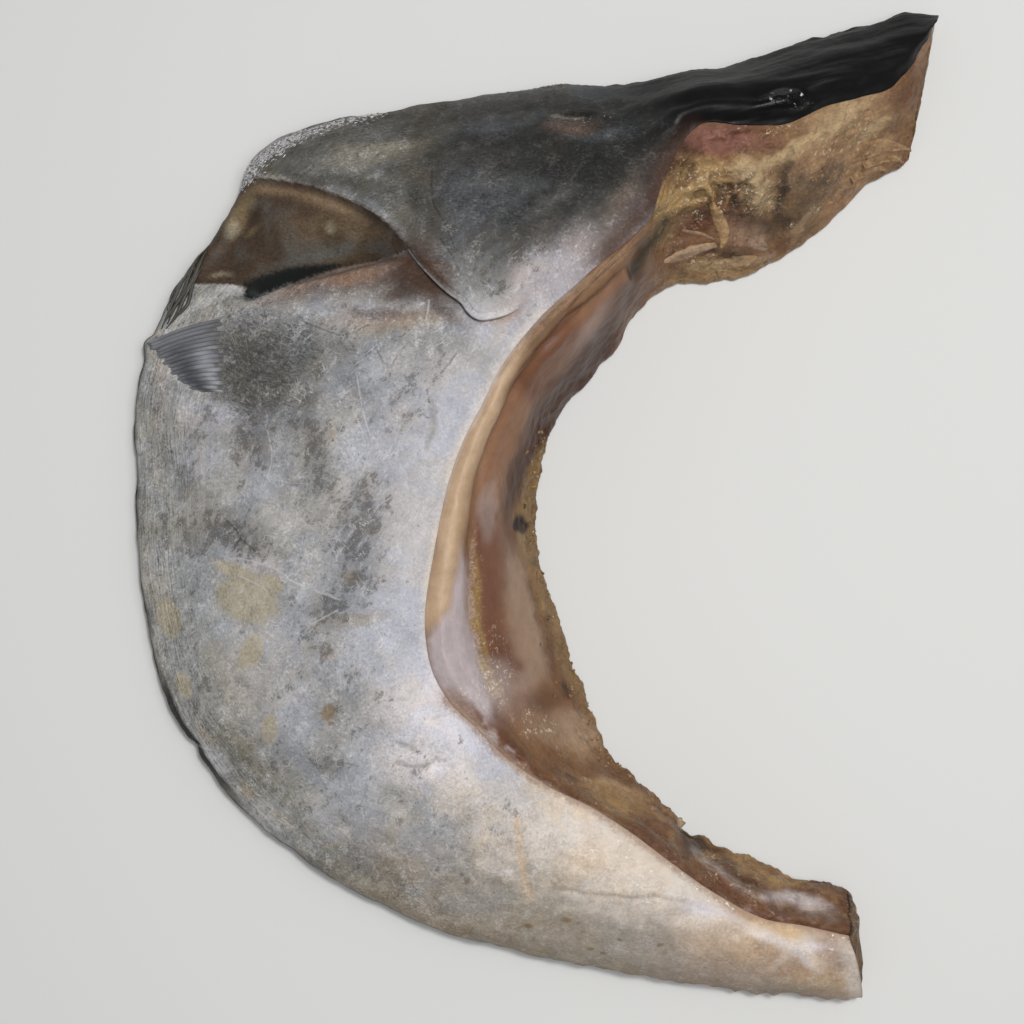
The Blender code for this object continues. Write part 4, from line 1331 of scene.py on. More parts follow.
BELLY_FLESH_MARKS = (
    ("brown", 0.75, 0.7, (40, -96.5, 8, 2.8, -38), (50, -107, 8, 2.8, -42), (60, -116, 7, 2, -35),
     (98, -117.5, 9, 1.4, -8)),
    ("fat", 0.42, 0.8, (68, -106.5, 8, 2.4, -20), (84, -112.6, 9, 1.8, -12), (28, -86, 12, 3, -25)),
    # Painted shade in the belly's hollow.
    ("hollow", 0.9, 0.6, (51, -98.5, 2.6, 5.5, 25), (55, -102, 4, 2, -35)),
    ("dark", 0.55, 0.8, (64, -108, 7, 1.4, -35), (17.5, -79.5, 9, 1.2, -8), (72, -112.6, 8, 1, -22)),
    ("mauve", 0.6, 0.8, (64, -114.5, 8, 1.4, -34), (90, -117.8, 8, 1.2, -14)),
    # Painted sheen on the glossy patch.
    ("gloss", 0.9, 0.8, (87.5, -120.6, 8.5, 2.4, -20)),
    ("beige", 0.55, 0.8, (30, -84, 9, 1.6, -25), (24, -81.5, 8, 1, -20), (90, -113.2, 7, 1, -8)),
    ("pale", 0.85, 0.7, (50.5, -97, 2.4, 1.4, -20)),
)

# Where wet flesh sparkles: the amount, then an oval.
GLINTS = (
    (0.95, 62, 108, 16, 6, 14),
    (0.7, 54, 112, 7, 4, 20),
    (0.8, 76, 108, 6, 4, 0),
    (0.8, 68, 87.6, 14, 1.6, 4),
    (0.6, 48, 94, 5, 3, 30),
    (1, 64.6, 108, 2, 6.5, 8),
    (1, 45, 101.2, 5, 1.3, 20),
    (0.8, 53, 108, 2.4, 3.4, 0),
    (1, -12.5, -51, 8, 6, 40),
    (0.6, -7, -38, 3, 8, 10),
    (1, 79, 125.8, 11, 1.1, 2),
    (1, 60.5, 88, 7, 1.1, 3),
    (1, 88.4, 100.6, 4, 1.3, 50),
    (0.9, 95.6, 106, 3.4, 1.2, 42),
    (1, 98.9, 120, 0.9, 4.6, -5),
    (0.5, 104, 122, 16, 7, 36),
    (0.8, 4, -62, 7, 4, -30),
    (0.9, 58, -107.5, 5, 1.6, -40),
    (0.7, 66, -112, 12, 2.4, -30),
)


def paint_belly_flesh(paint, down, place, wide, fine):
    """The amber lower band with its wet lips, painted sheen along its ridge and on its glossy patch, and
    painted shade in its dark hollow.
    """
    belly = ramp(23.2, 24.5, place)
    paint.wash("brown", 0.35 * belly * ramp(0, 0.5, wide))
    paint.wash("fat", 0.34 * belly * ramp(0.05, 0.5, lumps(paint.points, 6, 67)) * ramp(0.25, 0.5, down))
    paint.daub(BELLY_FLESH_MARKS)
    mauve, along = paint.stroke(MAUVE_LINE, 2.2)
    paint.wash("mauve", 0.8 * mauve * ramp(0, 0.15, along))
    paint.wash("gloss", 0.2 * mauve * ramp(0.1, 0.6, fine))
    # Painted sheen along the ridge.
    ridge, along = paint.stroke(BELLY_RIDGE, 1)
    paint.wash("gloss", 0.38 * ridge * (0.8 + 0.6 * fine) * ramp(1, 0.8, along))
    paint.wash("dark", 0.25 * belly * ramp(0.2, 0.55, -fine))


# ---------------------------------------------------------------- materials


class Wire:
    """A value in a material, on which plain arithmetic adds Math nodes."""

    def __init__(self, nodes, socket):
        self.nodes = nodes
        self.socket = socket

    def reckon(self, operation, *values, clamp=False):
        return self.nodes.add(
            "ShaderNodeMath", {"operation": operation, "use_clamp": clamp}, dict(enumerate(values))
        )

    def __add__(self, other):
        return self.reckon("ADD", self, other)

    __radd__ = __add__

    def __sub__(self, other):
        return self.reckon("SUBTRACT", self, other)

    def __rsub__(self, other):
        return self.reckon("SUBTRACT", other, self)

    def __mul__(self, other):
        return self.reckon("MULTIPLY", self, other)

    __rmul__ = __mul__

    def smooth(self, low, high):
        """0 at low and 1 at high, smoothly between; each may be a value of its own."""
        settings = {"interpolation_type": "SMOOTHSTEP"}
        return self.nodes.add(
            "ShaderNodeMapRange", settings, {"Value": self, "From Min": low, "From Max": high}
        )

    def clamped(self):
        return self.reckon("ADD", self, 0, clamp=True)

    def line(self, width):
        """1 where the value passes through a half, so that noise gives fine lines."""
        return self.reckon("COMPARE", self, 0.5, width)

    def towards(self, other, amount):
        return self + (other - self) * amount


class Nodes:
    """The node tree of one material, and the base colour that its layers build up."""

    def __init__(self, name):
        self.material = bpy.data.materials.new(name)
        self.material.use_nodes = True
        self.tree = self.material.node_tree
        self.place = self.add("ShaderNodeTexCoord", output="Object")
        self.base = self.attribute("paint", "Color")

    def add(self, kind, settings=None, values=None, output=0):
        node = self.tree.nodes.new(kind)
        for name, value in (settings or {}).items():
            setattr(node, name, value)
        for name, value in (values or {}).items():
            self.put(node.inputs[name], value)
        return Wire(self, node.outputs[output])

    def put(self, socket, value):
        if isinstance(value, Wire):
            self.tree.links.new(value.socket, socket)
        else:
            socket.default_value = value

    def attribute(self, name, output="Fac"):
        return self.add("ShaderNodeAttribute", {"attribute_name": name}, output=output)

    def along_flow(self, stretch):
        """The places along and across the piece, stretched along it."""
        return self.add("ShaderNodeMapping", None, {0: self.attribute("flow", "Vector"), 3: (stretch, 1, 1)})

    def strokes(self, width, run, turn, detail=3, rough=0.6, warp=0):
        """Noise in strokes of this width and length. At a turn of 0 they run along Y."""
        values = {0: self.place, 2: (0, 0, math.radians(turn)), 3: (width, run, 2 * width)}
        return self.speckle(
            1, detail, rough, warp, self.add("ShaderNodeMapping", {"vector_type": "TEXTURE"}, values)
        )

    def speckle(self, size, detail=2, rough=0.5, warp=0, vector=None):
        """Noise with features of about this size in the vector's own units, or in metres without one."""
        values = {"Scale": 1 / size, "Detail": detail, "Roughness": rough, "Distortion": warp}
        return self.add("ShaderNodeTexNoise", None, {"Vector": vector or self.place, **values})

    def mix(self, amount, below, above, blend="MIX"):
        below, above = (value if isinstance(value, Wire) else (*value, 1) for value in (below, above))
        settings = {"data_type": "RGBA", "blend_type": blend}
        return self.add("ShaderNodeMix", settings, {0: amount, 6: below, 7: above}, output=2)

    def lay(self, amount, over, blend="MIX"):
        """Lays a colour over the base colour."""
        self.base = self.mix(amount, self.base, over, blend)

    def grey(self, value):
        """A value as an even grey, to darken or lighten a colour by."""
        return self.add("ShaderNodeCombineColor", None, {0: value, 1: value, 2: value})

    def bump(self, height, distance, strength, below=None):
        values = {"Strength": strength, "Distance": distance, "Height": height}
        return self.add("ShaderNodeBump", None, {**values, "Normal": below} if below else values)

    def finished(self, roughness, shine, under, reach, scale, normal):
        """Sets the shader. under is the share of light that goes below the surface, as far as its reach."""
        shader = self.tree.nodes["Principled BSDF"]
        for name, value in (
            ("Base Color", self.base),
            ("Roughness", roughness.clamped()),
            ("Specular IOR Level", shine),
            ("Subsurface Weight", under),
            ("Subsurface Radius", reach),
            ("Subsurface Scale", scale),
            ("Normal", normal),
        ):
            self.put(shader.inputs[name], value)
        return self.material


def skin_material(tints):
    """Silver skin: painted colours under dark mottling, pale film, scratches and brushed strokes, with
    painted glints.
    """
    nodes = Nodes("Silver skin")
    attribute, speckle, strokes, lay = nodes.attribute, nodes.speckle, nodes.strokes, nodes.lay
    streaky, cloudy, grainy, glint = (attribute(name) for name in ("streaky", "cloudy", "grainy", "glint"))
    bare = 1 - attribute("plain")

    slant = strokes(0.00042, 0.0015, -38, 4, 0.65)
    steep = strokes(0.00042, 0.0019, 14, 4, 0.65)
    lying = strokes(0.00042, 0.0026, 80, 4, 0.65)
    brush = slant.towards(
        steep.towards(lying, speckle(0.019).smooth(0.5, 0.58)), speckle(0.013).smooth(0.45, 0.55)
    )
    brush = brush.towards(lying, attribute("level"))
    pores = speckle(0.00085, 5, 0.72)
    clouds = speckle(0.0068, 9, 0.72, 0.2)
    drift = strokes(0.0034, 0.0062, -34, 8, 0.72, 0.3)
    dashes = strokes(0.0008, 0.003, 66, 3, 0.6, 0.9)
    mottle = clouds * 0.42 + drift * 0.3 + pores * 0.16 + brush * 0.18
    mottle = mottle.towards(dashes * 0.52 + clouds * 0.32 + pores * 0.2, attribute("scaly"))
    limit = 0.605 - attribute("speckled") * 0.13
    dark = mottle.smooth(limit - 0.01, limit + 0.05) * bare
    lay(dark * (0.38 + pores * 0.6), tints.speckle)

    tone = speckle(0.02, 5, 0.62, 0.3).smooth(0.42, 0.58)
    lay(bare * 0.75, nodes.mix(tone, (0.95, 0.99, 1.05), (1.05, 1.01, 0.93)), "MULTIPLY")
    scum = strokes(0.0036, 0.006, -35, 8, 0.72, 0.5)
    pale = (brush * 0.22 + scum * 0.56 + pores * 0.22).smooth(0.505, 0.61) * bare * cloudy
    lay(pale * 0.46, tints.bloom)
    scratches = strokes(0.0024, 0.024, -52, 1, 0.4, 0.3).line(0.007)
    scratches = scratches + strokes(0.0021, 0.021, 24, 1, 0.4, 0.3).line(0.007)
    scratches = scratches + strokes(0.0026, 0.026, 72, 1, 0.4, 0.3).line(0.006)
    scratches = scratches.clamped() * clouds.smooth(0.44, 0.6) * bare * cloudy
    lay(scratches * 0.4, tints.bloom)

    torn = speckle(0.0026, 6, 0.68)
    frayed = (torn - 0.5) * 1.3 + (brush - 0.5) * 0.7
    stained = (attribute("stain") + frayed * 0.4 + (drift - 0.5) * 0.5).smooth(-0.1, 0.34)
    lay((stained * (0.8 - dark * 0.4 - scratches * 0.4)).clamped(), tints.stain)
    lay((attribute("hem") + (torn - 0.5) * 6 + (brush - 0.5) * 3).smooth(2.8, 0) * 0.75, tints.membrane)
    lay((attribute("spot") + frayed).smooth(-0.1, 0.6) * 0.7, tints.spot)

    threads = speckle(0.6, 4, 0.62, 0.7, nodes.along_flow(0.09))
    shade = 1 + (threads - 0.5) * streaky * 2 + (brush - 0.5) * grainy * 0.6
    shade = shade + (clouds - 0.5) * grainy * 1.45 + (pores - 0.5) * grainy * 1.3
    lay(1, nodes.grey(shade), "MULTIPLY")
    for name, tint, amount in (("cracks", tints.slit, 0.42), ("fibres", tints.shine, 0.36)):
        way = nodes.add(
            "ShaderNodeVectorMath", {"operation": "LENGTH"}, {0: attribute(name, "Vector")}, output=1
        )
        lay((way + (pores - 0.5) * 1.6).smooth(1.3, 0.35) * drift.smooth(0.36, 0.5) * amount, tint)

    rag = speckle(0.0014, 4, 0.65)
    tissue_shade = 1 + (lying - 0.5) * 1.3 + (clouds - 0.5) * 0.7 + (pores - 0.5) * 1.6
    tissue = nodes.mix(1, attribute("inlay", "Color"), nodes.grey(tissue_shade), "MULTIPLY")
    lay((attribute("inlaid") + (rag - 0.5) * 1.6).smooth(-0.55, 0.65), tissue)
    lay((attribute("slit") + (rag - 0.5) * 1.2 + (pores - 0.5) * 0.6).smooth(-0.35, 0.55), tints.slit)
    # Painted glints: near-white specks where the skin is wet.
    painted_glints = speckle(0.0012, 1, 0.4, 0.5).smooth(0.66, 0.71) * glint
    lay(painted_glints.clamped() * 0.85, (0.92, 0.92, 0.9))

    height = pores * 0.5 + brush * 0.25 + clouds * 0.8 + threads * streaky * 0.4
    normal = nodes.bump(speckle(0.0013) * glint, 0.001, 0.8, nodes.bump(height, 0.0002, 0.6))
    roughness = 0.66 - attribute("glossy") * 0.4 + (pores - 0.5) * 0.3
    return nodes.finished(roughness, 0.19, 0.06, (1, 0.6, 0.5), 0.0012, normal)


def flesh_material():
    """Raw flesh and membrane: painted colours with fibres and fine mottling, painted shade and highlight in
    the torn relief, and painted glints, wet all over.
    """
    nodes = Nodes("Raw flesh")
    torn, glint = nodes.attribute("torn"), nodes.attribute("glint")
    fibres = nodes.speckle(0.9, 4, 0.6, 0.4, nodes.along_flow(0.09))
    flecks = nodes.speckle(0.001, 5, 0.65)
    blotch = nodes.speckle(0.0038, 4, 0.6, 0.4)
    depth = nodes.speckle(7, 3, 0.6, 0.5, nodes.along_flow(0.5))
    shade = 1 + (fibres - 0.5) * (0.28 + torn * 0.3) + (flecks - 0.5) * (0.2 + torn * 0.6)
    shade = shade + (blotch - 0.5) * (0.35 + torn * 0.45) + (depth - 0.5) * 0.4
    fluff = nodes.strokes(0.0005, 0.0022, -62, 4, 0.68, 0.8)
    tears = nodes.speckle(0.0036, 7, 0.68, 0.7)
    # The torn relief is painted darker in its pits and lighter on its raised parts: painted shade and painted
    # highlight.
    shade = shade + (fluff - 0.5) * torn * 0.7 - tears.smooth(0.46, 0.34) * torn * 0.34
    nodes.lay(1, nodes.grey(shade + tears.smooth(0.55, 0.66) * torn * 0.3), "MULTIPLY")
    # Painted glints: cream specks where the flesh is wet.
    painted_glints = nodes.speckle(0.001, 2, 0.5, 0.8).smooth(0.58, 0.67) * glint * blotch.smooth(0.4, 0.55)
    nodes.lay(painted_glints.clamped() * 0.62, (0.84, 0.75, 0.6))
    height = flecks * (0.15 + torn * 0.5) + fibres * 0.06 + (blotch * 1.2 + tears * 1.8 + fluff * 0.5) * torn
    wet = nodes.speckle(0.002) * (0.05 + glint)
    normal = nodes.bump(wet, 0.0011, 0.7, nodes.bump(height, 0.0006, 0.7))
    roughness = 0.44 - nodes.attribute("glossy") * 0.3 + (flecks - 0.5) * 0.25
    return nodes.finished(roughness, 0.23, 0.2, (1, 0.45, 0.3), 0.0022, normal)


def painted_material(name, roughness, shine, unevenness, fleck, under):
    """A simple wet finish over a piece's own paint, for fin rays, froth and crumbs."""
    nodes = Nodes(name)
    flecks = nodes.speckle(fleck, 4, 0.6)
    nodes.lay(1, nodes.grey(1 + (flecks - 0.5) * unevenness), "MULTIPLY")
    roughness = roughness + (flecks - 0.5) * 0.3
    return nodes.finished(roughness, shine, under, (1, 0.6, 0.4), 0.001, nodes.bump(flecks, 0.0003, 0.6))


# ---------------------------------------------------------------- the pieces


def blend(low, high, share):
    return np.asarray(low) + np.asarray(share)[:, None] * (np.asarray(high) - np.asarray(low))


def model_flesh(form, tints):
    """The flesh body: its inner face, the side hidden under the skin, and its underside."""
    places, travel = station_places()
    sections = Sections(places)
    falls = np.linspace(0, 1, FLESH_COLUMNS)
    face = sections.flesh(falls)
    down = np.tile(falls, ROWS)
    place = np.repeat(places, FLESH_COLUMNS)
    flat = face.reshape(-1, 3)
    reach = down * np.repeat(sections.depth[:, 0], FLESH_COLUMNS) * FLOW_ACROSS
    flow = np.column_stack([np.repeat(travel, FLESH_COLUMNS), reach, 0 * reach])
    crest = fine_flesh_relief(flat, flow, down, place, form)
    relief = flesh_relief(flat, down, place) + crest
    rim_relief = skin_relief(sections.skin(np.ones(1)).reshape(-1, 3))
    relief += np.repeat(rim_relief, FLESH_COLUMNS) * ramp(0.12, 0, down)
    lip = form.lip / MM * np.interp(place, *zip(*LIP_BY_PLACE))
    relief -= lip * ramp(0.1, 0, down)
    face = face + outward(face) * relief.reshape(ROWS, -1)[..., None]

    hidden = sections.skin(np.linspace(0.035, 0.93, HIDDEN_COLUMNS))
    hidden[..., 2] *= np.linspace(0.35, 0.72, HIDDEN_COLUMNS)
    start = sections.under_edge(np.array([1.05]))
    start[..., 2] = 0
    start[..., :2] += sections.across[:, None, :] * 0.6
    share = np.linspace(0, 1, HIDDEN_COLUMNS + 2)[1:-1][None, :, None]
    bottom = face[:, -1:] * (1 - share) + start * share
    bottom[..., 2] = 0
    arch = 0.5 * ramp(0.1, 0.5, np.sin(np.pi * share[..., 0]))
    bottom[..., 2] = arch * np.abs(lumps(bottom.reshape(-1, 3), 9, 42)).reshape(ROWS, -1)
    ring = np.concatenate([start, hidden, face, bottom], axis=1)

    item, points, caps = ringed_body("flesh", ring, (0.8, END_BULGE), CAP_RINGS, 1, 0)
    crests = np.zeros(ring.shape[:2])
    crests[:, HIDDEN_COLUMNS + 1 : HIDDEN_COLUMNS + 1 + FLESH_COLUMNS] = crest.reshape(ROWS, -1)
    crests = np.concatenate([crests.ravel(), np.zeros(len(points) - crests.size)])
    dress_flesh(item, points, caps, crests, tints, places, travel, sections)
    finish_piece(item, flesh_material())


def dress_flesh(item, points, caps, crests, tints, places, travel, sections):
    """Paints the face by its strips, the ends by the cut and the underside plainly, with painted highlight on
    the crests of its relief and painted shade in its hollows.
    """
    falls = np.concatenate([
        np.zeros(HIDDEN_COLUMNS + 1),
        np.linspace(0, 1, FLESH_COLUMNS),
        np.linspace(1, 3, HIDDEN_COLUMNS + 2)[1:-1],
    ])
    around = len(falls)
    extra = len(points) - ROWS * around
    down = np.concatenate([np.tile(falls, ROWS), np.full(extra, 2.0)])
    place = np.concatenate([np.repeat(places, around), np.zeros(extra)])
    place[caps[1]] = places[-1]
    paint = paint_flesh(points, np.minimum(down, 1.1), place, tints)
    ragged = np.maximum(ramp(9.4, 7.6, place), ramp(20.6, 22.5, place))
    ragged = np.maximum(ragged, ramp(0.7, 0.9, down))
    # Painted highlight and painted shade: the crests of the fine relief are lighter and its hollows darker,
    # most of all over the fat.
    folded = 0.25 + 0.75 * paint.spot(63, 109.5, 18, 8, 8, soft=0.6)
    paint.wash("crest", 0.5 * folded * ragged * ramp(0.15, 0.9, crests))
    paint.wash("hollow", 0.6 * folded * ragged * ramp(-0.05, -0.8, crests))
    underside = ramp(1.02, 1.3, down)
    paint.wash("under", underside)
    paint.wash("cream", 0.4 * underside * ramp(0.1, 0.5, lumps(points, 18, 63)))
    for cap in caps:
        mask = np.zeros(len(points))
        mask[cap] = 1
        paint.wash("end", mask * 0.9)
        paint.wash("tan", mask * 0.6 * ramp(0, 0.5, lumps(points, 4, 64)))
    back = ramp(9, 7, place)
    belly = ramp(20.6, 22.5, place)
    foot = ramp(0.7, 0.9, down) * (0.2 + 0.8 * ramp(13.4, 15, place))
    granular = band(place, down, ((9, 0, 0.16), (13.4, 0, 0.14)))
    torn = np.clip(0.9 * back + 0.55 * belly + foot + 0.7 * granular, 0, 1)
    torn[-extra:] = 1
    patches = ramp(0, 0.5, lumps(points, 8, 66))
    glint = (0.4 * belly + 0.2 * back) * patches
    for amount, *oval in GLINTS:
        glint += amount * paint.spot(*oval, soft=0.7)
    glint += 0.5 * band(place, down, ((17.8, 0.34, 0.42), (20.8, 0.34, 0.42)))
    glossy = 0.25 + 0.5 * paint.spot(92.5, -121.5, 11, 4, -10) + (0.4 * belly + 0.3 * back) * patches
    glossy += 0.5 * paint.spot(64, 110, 19, 8.5, 8, soft=0.7) + 0.2 * lumps(points, 9, 65)
    glossy -= 0.25 * near(down - 0.14, 0.12) * (1 - back) * (1 - belly)
    along = np.concatenate([np.repeat(travel, around), np.zeros(extra)])
    reach = np.tile(falls, ROWS) * np.repeat(sections.depth[:, 0], around) * FLOW_ACROSS
    flow = np.column_stack([along, np.concatenate([reach, points[-extra:, 2]]), points[:, 2] * 0.2])
    glint, glossy = np.clip(glint, 0, 1), np.clip(glossy, 0, 1)
    give(item, paint=paint.shades, torn=torn, glint=glint, glossy=glossy, flow=flow)


def model_skin(form, tints):
    """The skin: its outer side, the lip that turns down over the flesh, and its hidden inner side."""
    places, travel = station_places()
    sections = Sections(places)
    turns = np.linspace(UNDER_TURN, 0, EDGE_COLUMNS, endpoint=False)
    shares = np.linspace(0, 1, SKIN_COLUMNS) ** 1.15
    outside = np.concatenate([sections.under_edge(turns), sections.skin(shares)], axis=1)
    columns = outside.shape[1]
    share = np.concatenate([-turns, shares])
    share_all = np.tile(share, ROWS)
    place_all = np.repeat(places, columns)
    flat = outside.reshape(-1, 3)
    reach = np.maximum(share_all, -0.02) * np.repeat(sections.width[:, 0], columns)
    flow = np.column_stack([np.repeat(travel, columns), reach, 0 * reach])
    relief = (skin_relief(flat) + fine_skin_relief(flat, flow, place_all, form)) * ramp(0, 0.06, share_all)
    relief += outline_relief(flat) * ramp(0.06, 0.015, share_all)
    outside = outside + outward(outside) * relief.reshape(ROWS, -1)[..., None]

    tuck = []
    for out, drop in ((0.15, 0.3), (0.2, 0.9), (0, 1.9)):
        step = outside[:, -1:].copy()
        step[..., :2] += sections.down[:, None, :] * out
        step[..., 2] -= drop
        tuck.append(step)
    inside = sections.skin(np.linspace(0.96, 0.06, HIDDEN_COLUMNS))
    inside[..., 2] *= np.linspace(0.62, 0.25, HIDDEN_COLUMNS)
    ring = np.concatenate([outside, *tuck, inside], axis=1)
    around = ring.shape[1]
    item, points, _ = ringed_body("skin", ring, (0.2, 0.2), 2, 0, 1)

    ring_share = np.concatenate([share, np.ones(3 + HIDDEN_COLUMNS)])
    extra = len(points) - ROWS * around
    cap = extra // 2
    share_all = np.concatenate([np.tile(ring_share, ROWS), np.full(extra, 0.5)])
    place_all = np.concatenate([np.repeat(places, around), np.zeros(cap), np.full(extra - cap, places[-1])])
    width = np.repeat(sections.width[:, 0], around)
    reach = np.tile(np.maximum(ring_share, -0.02), ROWS) * width
    flow = np.column_stack([np.repeat(travel, around), reach, 0 * reach])
    flow = np.concatenate([flow, np.zeros((extra, 3))])
    rimward = (1 - share_all) * np.concatenate([width, np.full(extra, 50.0)])
    paint = paint_skin(points, share_all, place_all, rimward, tints)
    dress_skin(item, paint, share_all, place_all, rimward, flow, tints)
    finish_piece(item, skin_material(tints))


def dress_skin(item, paint, share, place, rimward, flow, tints):
    """Where the skin is speckled, streaked, plain, wet, stained and sparkling."""
    points = paint.points
    plan = paint.plan
    speckled = 0.3 + 0.3 * lumps(points, 20, 71)
    for *oval, amount in SPECKLED:
        speckled += 0.62 * amount * paint.spot(*oval, soft=0.9)
    silvery = between(place, 8, 11.5, 24, 27)
    speckled *= silvery * (1 - 0.55 * ramp(0.75, 0.98, share))
    below_fold, _ = beside(POCKET_FOLD, plan)
    above_slit, along = beside(POCKET_SLIT, plan)
    pocket = ramp(-0.5, 1, -below_fold) * ramp(-4, 0, above_slit) * ramp(1, 0.9, along)
    pocket *= ramp(-110, -104, plan[:, 0])
    back = ramp(34, 58, plan[:, 0] + 0.4 * (plan[:, 1] - 128))
    belly = ramp(24, 26.5, place)
    plain = np.clip(np.maximum(np.maximum(pocket, back), 0.55 * belly), 0, 1)
    above_low, _ = beside(POCKET_LOW, plan)
    fold = np.minimum(-below_fold, above_low + 0.6)
    fold = np.minimum(fold, (0.97 - along) * 60)
    left = (plan[:, 0] + 112 - 0.3 * (plan[:, 1] - 80)) * 0.8
    inlaid = np.clip(np.minimum(fold, left), -6, 6)
    slit_width = 3.3 * ramp(0.9, 0.1, along) + 0.5
    slit = 1 - np.abs(above_slit - 0.6) / slit_width
    slit = np.minimum(slit, (plan[:, 0] + 92) / 2.4)
    slit -= 0.9 * ramp(0.35, 0.75, along)
    slit = np.clip(
        np.where((along > 0.97) & (above_slit < 6), np.minimum(slit, (1 - along) * 20), slit), -3, 1
    )
    cloudy = 0.1 + 0.9 * ramp(0.03, 0.28, paint.shades.mean(1))
    grainy = 1.05 - 0.45 * ramp(0.7, 0.95, share) - 0.35 * belly - 0.45 * back
    grainy += 0.5 * paint.spot(8, 112, 46, 22, 14, soft=0.7)
    grainy += 0.5 * paint.spot(-84, 52, 17, 18, -30, soft=0.6)
    grainy += 0.35 * ramp(0.34, 0.1, share) * silvery
    level = ramp(82, 92, plan[:, 1] - 0.2 * plan[:, 0]) * ramp(60, 40, plan[:, 0])
    level = np.maximum(level, 0.8 * paint.spot(-50, 72, 42, 9, 0, soft=0.6))
    level = np.maximum(level, 0.75 * ramp(24, 26, place))
    scaly = paint.spot(-84, 52, 17, 18, -30, soft=0.5)
    streaky = ramp(0.34, 0.08, share) * between(place, 12.5, 14.5, 21, 24)
    streaky += 0.5 * ramp(86, 96, plan[:, 1]) * ramp(0, -30, plan[:, 0])
    stain = np.max([1 - paint.oval(*row, loose=False) for row in PALE_STAINS], axis=0)
    spot = np.max([1 - paint.oval(*row, loose=False) for row in BROWN_SPOTS], axis=0)
    glossy = 0.05 + 0.3 * back + 0.45 * pocket + 0.45 * belly * ramp(0.5, 0.9, share)
    glossy += 0.9 * paint.spot(82, 134.5, 9, 4, 0) + 0.5 * paint.spot(52, 127, 22, 2.2, 4)
    # Glint: where the skin gets painted glints and a stronger bump, on the wet belly, a strip by the rim, the
    # knot and the eye fold.
    glint = belly * ramp(0.5, 0.9, share) * ramp(-0.2, 0.3, lumps(points, 10, 72))
    glint += 0.8 * paint.spot(84, 134.5, 6, 2.6, 0) + 0.5 * paint.spot(20, 131, 7, 1, 0)
    glint += 0.45 * ramp(0.93, 0.99, share) * between(place, 17.5, 19, 22, 24)
    hem = np.clip(rimward + 9 * ramp(21, 20, place), 0, 9)
    give(
        item,
        hem=hem,
        paint=paint.shades,
        speckled=np.clip(speckled, 0, 1),
        plain=plain,
        streaky=np.clip(streaky, 0, 1),
        stain=np.maximum(stain, -2),
        spot=np.maximum(spot, -2),
        glossy=np.clip(glossy, 0, 1),
        glint=np.clip(glint, 0, 1),
        cracks=towards_lines(CRACKS, plan),
        fibres=towards_lines(FIBRES, plan),
        inlay=paint_inlay(points, tints),
        inlaid=inlaid,
        slit=slit,
        cloudy=cloudy,
        grainy=np.clip(grainy, 0.2, 2),
        level=np.clip(level, 0, 1),
        scaly=np.clip(scaly, 0, 1),
        flow=flow,
    )


RAYS = 17
FAN_LOW = ((-126.4, 62.8), (-122.6, 59.6), (-119.4, 56), (-115.8, 52), (-111.4, 48.2), (-104.5, 44.4))
FAN_RIGHT = ((-98.2, 69.4), (-95.6, 43.2))
BLADES_OUT = ((-105.6, 95.5), (-110.4, 89.6), (-114.8, 82), (-118.4, 75.4), (-120.9, 67.6))
BLADES_IN = ((-103.2, 95), (-106.4, 87.6), (-109.3, 79), (-113, 73), (-118, 67.4))

# Each blade: how far in from the outer line it lies, where it starts and ends along it, and its width.
BLADES = (
    (0.02, 0.1, 0.8, 1.5),
    (0.18, 0, 0.98, 1.5),
    (0.4, 0.16, 1, 1.7),
    (0.62, 0.05, 0.94, 1.6),
    (0.82, 0.22, 1, 1.6),
    (0.98, 0.34, 0.9, 1.4),
)


